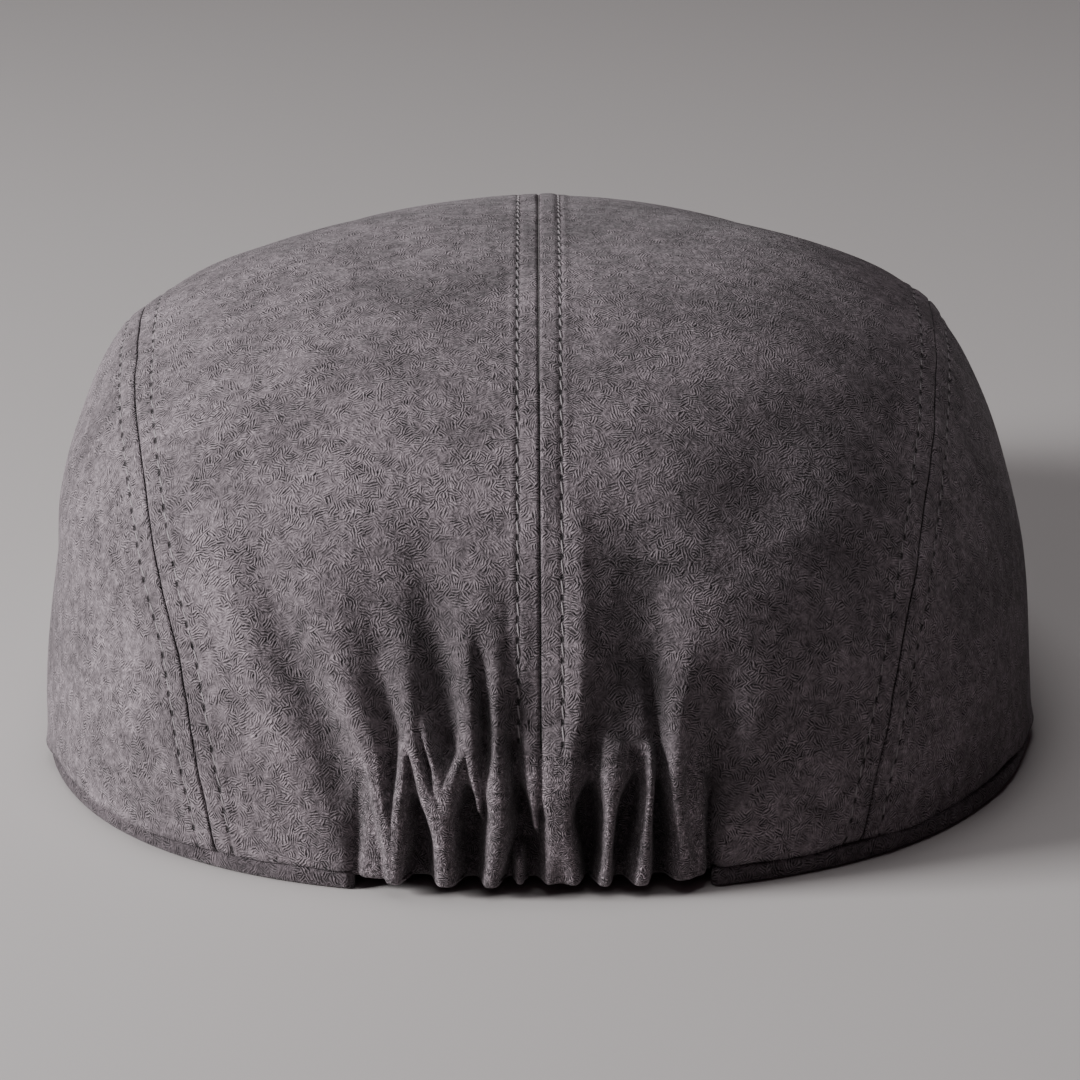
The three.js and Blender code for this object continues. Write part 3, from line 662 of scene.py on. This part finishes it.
def pattern(row, share, notch):
    """Place on the crown for a row from the front, on the line at a share of the way out.

    Up to ALONG_CROWN the rows end at the casing's upper seam. The others go on down beside it.
    """
    ahead = line_end(share[:, 0], -1, rim_share)[:, None]
    behind = line_end(share[:, 0], 1, casing_seam_share)[:, None]
    run = 1 - crowded_start(1 - np.clip(row / ALONG_CROWN, 0, 1), CROWD_AT_CASING)
    along = ahead + (behind - ahead) * run
    upper = share * seam_across(along)
    down = np.clip((row - ALONG_CROWN) / BESIDE_CASING, 0, 1)
    start = np.arctan2(share * seam_across(behind), behind)
    seam_foot = math.atan2(seam_across(SEAM_ENDS[1]), SEAM_ENDS[1])
    seam_turn = seam_foot - math.atan2(seam_across(RIM_BEHIND[1]), RIM_BEHIND[1])
    beside = np.maximum(0, (share - notch) / (1 - notch))
    angle = start + seam_turn * down * beside**2
    first = casing_seam_share(start)
    radius = first + (1 - first) * down
    low = row > ALONG_CROWN
    return (np.where(low, radius * np.sin(angle), upper),
            np.where(low, radius * np.cos(angle), along))


def share_across(distance, across, along):
    """Share of the way out that a distance across the cloth takes."""
    span = np.linalg.norm(crown_point(across + NUDGE, along) - crown_point(across, along), axis=-1)
    return distance * NUDGE / span


def top_panel(name, side):
    notch = notch_share(casing_end(side) + JOINT_GAP / BACK_REACH)
    inner = notch * crowded_start(np.linspace(0, 1, OVER_CASING + 1), CROWD_AT_CENTRE)
    outer = 1 - (1 - notch) * crowded_start(np.linspace(0, 1, BESIDE_SEAM + 1))[::-1]
    shares = np.concatenate([inner, outer[1:]])

    def place(column, row):
        across, along = pattern(row, shares[column], notch)
        first, last = column == 0, column == len(shares) - 1
        inset = SEAM_GAP / 2 * (first.astype(float) - last)
        return cloth(across + share_across(inset, across, along), along, side)

    def kept(column, row):
        return row < ALONG_CROWN or column > OVER_CASING

    columns, rows = len(shares) - 1, ALONG_CROWN + BESIDE_CASING
    return grid_piece(name, columns, rows, place, side < 0, kept=kept)


def side_panel(name, side):
    notch = notch_share(casing_end(side) + JOINT_GAP / BACK_REACH)
    rows = ALONG_CROWN + BESIDE_CASING
    seam = pattern(np.arange(rows + 1)[None, :], np.ones((1, rows + 1)), notch)
    across, along = seam[0][0], seam[1][0]
    steps = np.hypot(np.diff(across), np.diff(along))
    run = np.concatenate([[0], np.cumsum(steps)]) / steps.sum()
    tip = 2 * SEAM_GAP / HALF_WIDTH
    front = math.atan2(across[0], along[0]) - tip
    back = math.atan2(across[-1], along[-1]) + tip

    def place(column, row):
        angle = front + (back - front) * run[row]
        rim = np.sin(angle), np.cos(angle)
        inset = share_across(SEAM_GAP / 2, across[row], along[row])
        closed = (row == 0) | (row == rows)
        upper = across[row] + inset, along[row]
        upper = [np.where(closed, r, u) for r, u in zip(rim, upper)]
        down = crowded_start(column / SIDE_COLUMNS)
        down_across, down_along = (u + (r - u) * down for u, r in zip(upper, rim))
        return cloth(down_across, down_along, side)

    return grid_piece(name, SIDE_COLUMNS, rows, place, side < 0)


def casing_piece(name):
    left, right = casing_end(1), -casing_end(-1)
    bottom = CASING_FOOT - TURNED_DROP + TURNED_EDGE

    def place(column, row):
        angle = right + (left - right) * column / CASING_COLUMNS
        up = np.clip((row - TURNED_ROWS) / CASING_ROWS, 0, 1)
        height = bottom + (CASING_TOP - JOINT_GAP - bottom) * up
        radius = share_at_height(angle, height)
        side = np.where(angle < 0, -1.0, 1.0)
        points, sewing = cloth(radius * np.sin(np.abs(angle)), radius * np.cos(angle), side)
        # Below the lowest whole row the cloth turns under.
        turn = TURNED_ANGLE * np.clip((TURNED_ROWS - row) / TURNED_ROWS, 0, 1)
        inwards = TURNED_EDGE * (1 - np.cos(turn))
        points[..., 0] -= inwards * np.sin(angle)
        points[..., 1] -= inwards * np.cos(angle)
        points[..., 2] -= TURNED_EDGE * np.sin(turn)
        return points, sewing

    rows = CASING_ROWS + TURNED_ROWS
    return grid_piece(name, CASING_COLUMNS, rows, place, True, wall=TUNNEL_WALL)


def rounded_section(corner, corners, squareness):
    """Unit outline with rounded corners: places from -1 to 1 sideways and up."""
    angle = 2 * math.pi * corner / corners
    c, n = np.cos(angle), np.sin(angle)
    power = 2 / squareness
    return np.sign(c) * np.abs(c) ** power, np.sign(n) * np.abs(n) ** power


BAND_STATIONS, BAND_CORNERS = 300, 20
BAND_SQUARENESS = 2.8
BAND_END = 1.3 * MM  # radius of its rounded ends
BAND_WAVES, BAND_WAVES_SIZE = 0.18 * MM, 11 * MM
BAND_LUMPS, BAND_LUMPS_SIZE = 0.12 * MM, 3.2 * MM
PEAK_STATIONS, PEAK_CORNERS, ROUND_CORNERS = 240, 76, 10


def rounded_end(distance, radius):
    """How much a body narrows near its end, so that the end is round and not quite a point."""
    near = 1 - np.clip(distance / radius, 0, 1)
    return radius * (1 - np.sqrt(np.maximum(0, 1 - 0.96 * near**2)))


def edge_band(name, side):
    start = casing_end(side) + SEAM_GAP / BACK_REACH
    stop = PEAK_CORNER - SEAM_GAP / HALF_WIDTH

    def place(station, corner):
        angle = start + (stop - start) * crowded_start(station / BAND_STATIONS, CROWD_IN_BAND)
        across, up = rounded_section(corner, BAND_CORNERS, BAND_SQUARENESS)
        middle = plan_radius(angle) + BAND_PROUD - BAND_THICKNESS / 2
        pinch = rounded_end(middle * (angle - start), BAND_END)
        where = np.stack([middle * np.sin(angle) * side, middle * np.cos(angle), 0 * angle], -1)
        swell = BAND_WAVES * ripple(where, BAND_WAVES_SIZE, 3)
        swell += BAND_LUMPS * ripple(where, BAND_LUMPS_SIZE, 4)
        # The underside stays even, because the cap lies on it.
        swell *= np.maximum(0, up + 0.7)
        out = middle + (BAND_THICKNESS / 2 - pinch) * across + swell
        height = BAND_HEIGHT / 2 + (BAND_HEIGHT / 2 - pinch * (up > 0)) * up
        return np.stack([side * out * np.sin(angle), out * np.cos(angle), height], -1)

    return tube_piece(name, BAND_STATIONS, BAND_CORNERS, place)


def peak_plate(name):
    corner_radius = plan_radius(np.array([PEAK_CORNER]), FRONT_REACH + PEAK_REACH)[0] - PEAK_TIP
    ahead = corner_radius * math.cos(PEAK_CORNER) / HEAD_FRONT
    head_half = corner_radius * math.sin(PEAK_CORNER) / math.sqrt(1 - ahead**2)
    flat_corners = PEAK_CORNERS // 2 - ROUND_CORNERS

    def place(station, corner):
        angle = PEAK_CORNER + (2 * math.pi - 2 * PEAK_CORNER) * station / PEAK_STATIONS
        outer = plan_radius(angle, FRONT_REACH + PEAK_REACH)
        inner = 1 / np.hypot(np.sin(angle) / head_half, np.cos(angle) / HEAD_FRONT)
        # Round the outer edge, back along the top, round the inner edge, out underneath.
        half_way = PEAK_CORNERS // 2
        inside = (corner % PEAK_CORNERS) // half_way
        within = (corner % PEAK_CORNERS) % half_way
        turn = math.pi * np.clip(within / ROUND_CORNERS, 0, 1) - math.pi / 2
        flat = np.clip((within - ROUND_CORNERS) / flat_corners, 0, 1)
        radius = PEAK_THICKNESS / 2
        reach = (outer - inner) / 2 - radius
        sign = np.where(inside == 1, -1, 1)
        out = (outer + inner) / 2 + sign * (reach * (1 - 2 * flat) + radius * np.cos(turn))
        lift = sign * np.sin(turn)
        x, y = out * np.sin(angle), out * np.cos(angle)
        on_top = lift > 0.99
        pressed = np.exp(-(((outer - out - PEAK_STITCH) / PEAK_STITCH_REACH) ** 2)) * on_top
        z = peak_underside(x, y) + radius * (1 + lift) - PEAK_STITCH_DEPTH * pressed
        return np.stack([x, y, z], -1)

    return tube_piece(name, PEAK_STATIONS, PEAK_CORNERS, place)


body_pieces = {}
for word, side in (("left", 1), ("right", -1)):
    body_pieces["top_panel_" + word] = top_panel("top_panel_" + word + "_cloth", side)
    body_pieces["side_panel_" + word] = side_panel("side_panel_" + word + "_cloth", side)
    body_pieces["edge_band_" + word] = edge_band("edge_band_" + word + "_cloth", side)
body_pieces["elastic_casing"] = casing_piece("elastic_casing_cloth")
body_pieces["peak"] = peak_plate("peak_cloth")

for node, piece in body_pieces.items():
    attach(piece, "root")
    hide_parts(node)


# Stitches
STITCH_SEGMENTS, STITCH_RINGS = 6, 5
SEAM_STEP = 0.5 * MM  # along a seam, by which its way is felt out


def along_seam(seam, runs):
    """Places across and along the crown at given runs of a seam."""
    return np.interp(runs, seam.run, seam.across), np.interp(runs, seam.run, seam.along)


def beside_seam(seam, runs, distance):
    """Places beside a seam, at a distance to its outer (or, if negative, inner) side."""
    across, along = along_seam(seam, runs)
    ahead = along_seam(seam, runs + SEAM_STEP)
    here = crown_point(across, along)
    seam_way = crown_point(*ahead) - here
    pace = np.linalg.norm(seam_way, axis=-1)
    side_way = crown_point(across + NUDGE, along) - here
    # A nudge outwards, less its share of the seam's own way, is at right angles to the seam.
    lean = (side_way * seam_way).sum(-1) / pace**2
    turn = NUDGE - lean * (ahead[0] - across), -lean * (ahead[1] - along)
    size = np.linalg.norm(crown_point(across + turn[0], along + turn[1]) - here, axis=-1)
    share = distance / size
    for _ in range(3):
        placed = across + turn[0] * share, along + turn[1] * share
        share = share * abs(distance) / np.linalg.norm(crown_point(*placed) - here, axis=-1)
    return placed


def sew(name, ends, sink):
    """One piece of many stitches, each given by its two ends and the way that its cloth faces."""
    bm = bmesh.new()
    for (start, stop), normal in ends:
        way = Vector(stop - start)
        long = way.normalized()
        up = Vector(normal)
        side = up.cross(long).normalized()
        up = long.cross(side)
        turned = Matrix((side, up, long)).transposed().to_4x4()
        turned.translation = Vector((start + stop) / 2) - up * sink
        size = Matrix.Diagonal((THREAD / 2, THREAD / 2, way.length / 2, 1))
        bmesh.ops.create_uvsphere(bm, u_segments=STITCH_SEGMENTS, v_segments=STITCH_RINGS,
                                  radius=1, matrix=turned @ size)
    piece = finish_mesh(name, bm)
    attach(piece, "root")
    return piece


def row_beside(seam, distance, side, first, last):
    """Both ends of each stitch in a row beside a seam, and the way that its cloth faces."""
    # Stitches lie at whole pitches, so that the holes drawn between them are in their places.
    count = int((last - first) / STITCH_PITCH)
    middles = first + STITCH_PITCH * (np.arange(count) + 0.5)
    middles = np.round(middles / STITCH_PITCH) * STITCH_PITCH
    ends = []
    for half in (-0.5, 0.5):
        slant = -side * STITCH_SLANT * half
        place = beside_seam(seam, middles + half * STITCH_LENGTH, distance + slant)
        ends.append(cloth(*place, side)[0])
    place = beside_seam(seam, middles, distance)
    normal = crown_normal(*place)[1]
    normal[..., 0] *= side
    ends = [to_frame(e) for e in ends]
    return [((a, b), n) for a, b, n in zip(*ends, normal)]


stitches = {}
for word, side in (("left", 1), ("right", -1)):
    end = CENTRE_SEAM.run[-1] - CENTRE_ROW_BACK
    rows = row_beside(CENTRE_SEAM, TOPSTITCH, side, CENTRE_ROW_FRONT, end)
    stitches["centre_stitches_" + word] = sew("centre_stitches_" + word, rows, CENTRE_SINK)
    end = SIDE_SEAM.run[-1] - SIDE_ROW_BACK
    rows = row_beside(SIDE_SEAM, TOPSTITCH, side, SIDE_ROW_FRONT, end)
    rows += row_beside(SIDE_SEAM, -TOPSTITCH, side, SIDE_ROW_FRONT, end)
    stitches["side_stitches_" + word] = sew("side_stitches_" + word, rows, SIDE_SINK)


# Camera and light
CAMERA_DISTANCE = 900 * MM
CAMERA_TILT = math.radians(17.5)
CAMERA_TARGET = 50 * MM  # height over the middle that a look along the tilt meets
PHOTO_SIZE = 1080
PHOTO_FOCAL = 4663.5  # in pixels of the photograph
PHOTO_LEVEL = 459.1  # in pixels below the photograph's upper edge, where that point lies
CAMERA_ROLL = math.radians(0.27)
SENSOR = 36  # width in millimetres, as the camera counts it
FLOOR_HALF = 6  # half of the floor's width
FLOOR_COLOUR, FLOOR_ROUGHNESS = (0.56, 0.53, 0.525, 1), 0.8
ROOM_COLOUR, ROOM_STRENGTH = (1, 0.66, 0.78, 1), 0.023

# Lamps: place and size in metres, power in watts
Lamp = namedtuple("Lamp", "name place power size tint")
LAMPS = [
    Lamp("key", (1.2, 0.33, 0.5), 28.5, 0.4, (1, 1, 1)),
    Lamp("top", (0.1, 0.05, 1.15), 4, 0.6, (1, 1, 1)),
    Lamp("fill", (0.4, 1.3, 0.7), 0.25, 0.8, (1, 0.72, 0.84)),
]
LIT_POINT = (0, 0, 0.04)  # all lamps face it


def camera():
    data = bpy.data.cameras.new("photo camera")
    data.sensor_width = SENSOR
    data.lens = PHOTO_FOCAL / PHOTO_SIZE * data.sensor_width
    data.clip_start = 0.05
    eye = bpy.data.objects.new("photo camera", data)
    bpy.context.scene.collection.objects.link(eye)
    # The look turns down until the crown has the photograph's place in the frame.
    turn = math.atan((PHOTO_SIZE / 2 - PHOTO_LEVEL) / PHOTO_FOCAL)
    place = Vector((0, CROWN_Y + CAMERA_DISTANCE * math.cos(CAMERA_TILT),
                    CAMERA_TARGET + CAMERA_DISTANCE * math.sin(CAMERA_TILT)))
    facing = Matrix.Rotation(math.pi, 4, "Z") @ Matrix.Rotation(
        math.pi / 2 - CAMERA_TILT - turn, 4, "X") @ Matrix.Rotation(-CAMERA_ROLL, 4, "Z")
    eye.matrix_world = Matrix.Translation(place) @ facing
    bpy.context.scene.camera = eye


def area_light(lamp):
    data = bpy.data.lights.new(lamp.name, "AREA")
    data.energy = lamp.power
    data.size = lamp.size
    data.color = lamp.tint
    placed = bpy.data.objects.new(lamp.name, data)
    placed.location = lamp.place
    way = Vector(LIT_POINT) - Vector(lamp.place)
    placed.rotation_euler = way.to_track_quat("-Z", "Y").to_euler()
    bpy.context.scene.collection.objects.link(placed)


def plain_material(name, colour, roughness):
    material = bpy.data.materials.new(name)
    material.use_nodes = True
    shader = material.node_tree.nodes["Principled BSDF"]
    shader.inputs["Base Color"].default_value = colour
    shader.inputs["Roughness"].default_value = roughness
    return material


def studio():
    bm = bmesh.new()
    bmesh.ops.create_grid(bm, x_segments=1, y_segments=1, size=FLOOR_HALF)
    floor = finish_mesh("floor", bm)
    floor.data.materials.append(plain_material("pale floor", FLOOR_COLOUR, FLOOR_ROUGHNESS))
    for lamp in LAMPS:
        area_light(lamp)
    world = bpy.data.worlds.new("studio")
    world.use_nodes = True
    background = world.node_tree.nodes["Background"]
    background.inputs["Color"].default_value = ROOM_COLOUR
    background.inputs["Strength"].default_value = ROOM_STRENGTH
    bpy.context.scene.world = world


class Wiring:
    """Adds shader nodes to a tree. An input is a socket of another node or a plain value."""

    def __init__(self, tree):
        self.tree = tree

    def add(self, kind, inputs, **settings):
        node = self.tree.nodes.new("ShaderNode" + kind)
        for name, value in settings.items():
            setattr(node, name, value)
        for name, value in inputs.items():
            if isinstance(value, bpy.types.NodeSocket):
                self.tree.links.new(value, node.inputs[name])
            else:
                node.inputs[name].default_value = value
        return node

    def math(self, operation, a, b=0.0, c=0.0):
        return self.add("Math", {0: a, 1: b, 2: c}, operation=operation).outputs[0]

    def vector(self, operation, a, b=(0, 0, 0), scale=1.0):
        inputs = {0: a, 1: b, 3: scale}
        return self.add("VectorMath", inputs, operation=operation).outputs[0]

    def step(self, value, low, high, to_low=0.0, to_high=1.0):
        """Smooth step from to_low to to_high as the value goes from low to high."""
        inputs = {"Value": value, "From Min": low, "From Max": high,
                  "To Min": to_low, "To Max": to_high}
        return self.add("MapRange", inputs, interpolation_type="SMOOTHSTEP").outputs["Result"]

    def noise(self, place, size, detail=0.0):
        """Node of noise from 0 to 1, with features of about a size in the place's own unit."""
        return self.add("TexNoise", {"Vector": place, "Scale": 1 / size, "Detail": detail})


def node_group(name, inputs, outputs):
    """A new group's tree, its wiring, and the sockets of what it is given and what it makes."""
    tree = bpy.data.node_groups.new(name, "ShaderNodeTree")
    for socket in inputs:
        tree.interface.new_socket(socket, in_out="INPUT", socket_type="NodeSocketVector")
    for socket in outputs:
        tree.interface.new_socket(socket, in_out="OUTPUT", socket_type="NodeSocketFloat")
    start = tree.nodes.new("NodeGroupInput")
    end = tree.nodes.new("NodeGroupOutput")
    return tree, Wiring(tree), start.outputs, end.inputs


# Brushed nap: patches of short parallel strokes, each patch turned its own way. Millimetres.
PATCH = 1.45  # width of a patch
PATCH_SWAY, PATCH_SWAY_SIZE = 0.5, 1.6  # how far its border wanders, and over what length
STROKE = 0.5  # from stroke to stroke
STROKE_BEND, STROKE_BEND_SIZE = 0.5, 0.9  # the same of a stroke
RUBBED_SIZE = 5.0  # of the places where the strokes are faint
GRAIN, GRAIN_SHARE = 0.8, 1.4  # mottling between the strokes, and its height against theirs
BROAD_MOTTLE, SMALL_MOTTLE = 16.0, 2.6
CENTRED = (0.5, 0.5, 0.5)  # taken off a noise so that it spreads round 0


def nap_group():
    tree, w, given, made = node_group("brushed nap", ["Place", "Normal"], ["Strokes", "Mottle"])
    place = w.vector("SCALE", given["Place"], scale=1000)
    sway = w.noise(place, PATCH_SWAY_SIZE).outputs["Color"]
    sway = w.vector("SUBTRACT", sway, CENTRED)
    swayed = w.vector("ADD", place, w.vector("SCALE", sway, scale=PATCH_SWAY))
    patch = w.add("TexVoronoi", {"Vector": swayed, "Scale": 1 / PATCH})

    # The strokes run along a direction that each patch draws for itself.
    chance = w.vector("SUBTRACT", patch.outputs["Color"], CENTRED)
    across = w.vector("NORMALIZE", w.vector("CROSS_PRODUCT", given["Normal"], chance))
    from_middle = w.vector("SUBTRACT", swayed, patch.outputs["Position"])
    offset = w.add("VectorMath", {0: from_middle, 1: across}, operation="DOT_PRODUCT").outputs[1]
    bend = w.math("SUBTRACT", w.noise(place, STROKE_BEND_SIZE, 1.0).outputs[0], 0.5)
    offset = w.math("MULTIPLY_ADD", bend, STROKE_BEND, offset)
    wave = w.math("SINE", w.math("MULTIPLY", offset, 2 * math.pi / STROKE))
    strokes = w.step(wave, -0.8, 0.9)

    # They fade towards the patch's border and where the nap is rubbed.
    inner = w.step(patch.outputs["Distance"], 0.45, 0.75, to_low=1.0, to_high=0.2)
    rubbed = w.noise(place, RUBBED_SIZE, 2.0).outputs[0]
    strength = w.math("MULTIPLY", w.step(rubbed, 0.32, 0.6, to_low=0.35), inner)
    raised = w.math("MULTIPLY", w.math("SUBTRACT", strokes, 0.5), strength)
    grain = w.math("SUBTRACT", w.noise(place, GRAIN, 2.0).outputs[0], 0.5)
    raised = w.math("ADD", raised, w.math("MULTIPLY", grain, GRAIN_SHARE))
    w.tree.links.new(w.math("ADD", raised, 0.5), made["Strokes"])

    broad = w.noise(place, BROAD_MOTTLE, 3.0).outputs[0]
    small = w.noise(place, SMALL_MOTTLE, 2.0).outputs[0]
    mottle = w.math("ADD", w.math("MULTIPLY", broad, 0.5), w.math("MULTIPLY", small, 0.5))
    w.tree.links.new(mottle, made["Mottle"])
    return tree


# Sewing marks, and shade painted into the groove over the turned edge: where each is at its
# darkest, and where it ends
NEEDLE_HOLE = 0.08, 0.22  # in stitch pitches, from half-way between two stitches
HOLE_ACROSS = 0.14 * MM, 0.42 * MM
SEAM_LINE = 0.05 * MM, 0.26 * MM
EDGE_GROOVE_SHADE = 0.1 * MM, 0.9 * MM


def sewing_and_groove_shade_group():
    """Darkness of seams and of the needle's holes, and shade painted into the groove over the
    turned edge.
    """
    tree, w, given, made = node_group("sewing marks and painted groove shade", ["Sewing"], ["Dark"])
    run, away, rim = w.add("SeparateXYZ", {0: given["Sewing"]}).outputs
    beat = w.math("FRACT", w.math("MULTIPLY_ADD", run, 1 / STITCH_PITCH, 0.5))
    from_stitch = w.math("ABSOLUTE", w.math("SUBTRACT", beat, 0.5))
    from_hole = w.math("SUBTRACT", 0.5, from_stitch)
    hole = w.step(from_hole, *NEEDLE_HOLE, to_low=0.95, to_high=0.0)
    off_row = w.math("ABSOLUTE", w.math("SUBTRACT", away, TOPSTITCH))
    row = w.step(off_row, *HOLE_ACROSS, to_low=1.0, to_high=0.0)
    holes = w.math("MULTIPLY", hole, row)
    seam = w.step(away, *SEAM_LINE, to_low=0.9, to_high=0.0)
    # Painted shade: the groove over the turned edge is darkened in the colour.
    groove_shade = w.step(rim, *EDGE_GROOVE_SHADE, to_low=0.4, to_high=0.0)
    dark = w.math("MAXIMUM", holes, w.math("MAXIMUM", seam, groove_shade))
    w.tree.links.new(dark, made["Dark"])
    return tree


NAP = nap_group()
SEWING_AND_GROOVE_SHADE = sewing_and_groove_shade_group()
MOTTLE_SPREAD = 0.32  # how much lighter and darker the mottle makes the cloth
STROKE_LIGHT, BETWEEN_STROKES = 1.3, 0.35
FLECK_SIZE, FLECK_DARK = 0.45 * MM, 0.2
MARK_DARKNESS, MARK_DEPTH = 0.85, 1.5  # of the sewing marks and of the painted groove shade; its depth is a multiple of the nap's
# Share by which the painted fold shade darkens the cloth's colour at the bottom of a hollow
FOLD_PAINTED_SHADE = 0.63
THREAD_COLOUR, THREAD_ROUGHNESS = (0.27, 0.245, 0.255, 1), 0.6


def suede(name, tone, relief, fineness=1.0, fuzz=0.25):
    """Grey brushed cloth, darker at seams and holes, with painted shade in folds and groove,
    painted light on ridges.

    tone is a linear colour, relief the nap's height, and fuzz the strength of pale flecks.
    The higher the fineness, the smaller the nap's patches.
    """
    material = bpy.data.materials.new(name)
    material.use_nodes = True
    w = Wiring(material.node_tree)
    shader = material.node_tree.nodes["Principled BSDF"]
    place = w.add("TexCoord", {}).outputs
    sewing = w.add("Attribute", {}, attribute_name="sewing").outputs["Vector"]
    nap = w.add("Group", {}, node_tree=NAP)
    sized = w.vector("SCALE", place["Object"], scale=fineness)
    w.tree.links.new(sized, nap.inputs["Place"])
    w.tree.links.new(place["Normal"], nap.inputs["Normal"])
    marks = w.add("Group", {}, node_tree=SEWING_AND_GROOVE_SHADE)
    w.tree.links.new(sewing, marks.inputs["Sewing"])
    strokes, mottle = nap.outputs["Strokes"], nap.outputs["Mottle"]
    dark = marks.outputs["Dark"]
    # Painted shade: the colour darkens in the folds and lightens on the ridges.
    depth = w.add("Attribute", {}, attribute_name="painted fold shade").outputs["Fac"]
    flecks = w.noise(place["Object"], FLECK_SIZE, 2.0).outputs[0]
    light = w.step(mottle, 0.33, 0.67, 1 - MOTTLE_SPREAD, 1 + MOTTLE_SPREAD)
    for factor in (w.math("MULTIPLY_ADD", strokes, STROKE_LIGHT, BETWEEN_STROKES),
                   w.step(flecks, 0.45, 0.72, 1 - FLECK_DARK * fuzz, 1 + fuzz),
                   w.math("MULTIPLY_ADD", dark, -MARK_DARKNESS, 1.0),
                   w.math("MULTIPLY_ADD", depth, -FOLD_PAINTED_SHADE, 1.0)):
        light = w.math("MULTIPLY", light, factor)
    colour = w.vector("SCALE", tone, scale=light)
    w.tree.links.new(colour, shader.inputs["Base Color"])
    height = w.math("MULTIPLY_ADD", dark, -MARK_DEPTH, strokes)
    bump = w.add("Bump", {"Height": height, "Distance": relief, "Strength": 1.0})
    w.tree.links.new(bump.outputs[0], shader.inputs["Normal"])
    shader.inputs["Roughness"].default_value = 0.9
    shader.inputs["Specular IOR Level"].default_value = 0.25
    shader.inputs["Sheen Weight"].default_value = 0.12
    shader.inputs["Sheen Roughness"].default_value = 0.45
    return material


def dress():
    crown = suede("crown suede", (0.166, 0.14, 0.153), relief=0.19 * MM)
    casing = suede("casing suede", (0.176, 0.148, 0.162), relief=0.34 * MM, fineness=1.25, fuzz=0.9)
    # Painted shade: the turned band is a darker copy of the crown's suede, as it faces partly down.
    band = suede("band suede with painted shade", (0.094, 0.078, 0.086), relief=0.2 * MM)
    peak = suede("peak suede", (0.17, 0.138, 0.15), relief=0.1 * MM)
    for node, piece in body_pieces.items():
        finish = {"elastic_casing": casing, "peak": peak}.get(node, crown)
        piece.data.materials.append(band if node.startswith("edge_band") else finish)
    thread = plain_material("thread", THREAD_COLOUR, THREAD_ROUGHNESS)
    for piece in stitches.values():
        piece.data.materials.append(thread)


dress()
camera()
studio()
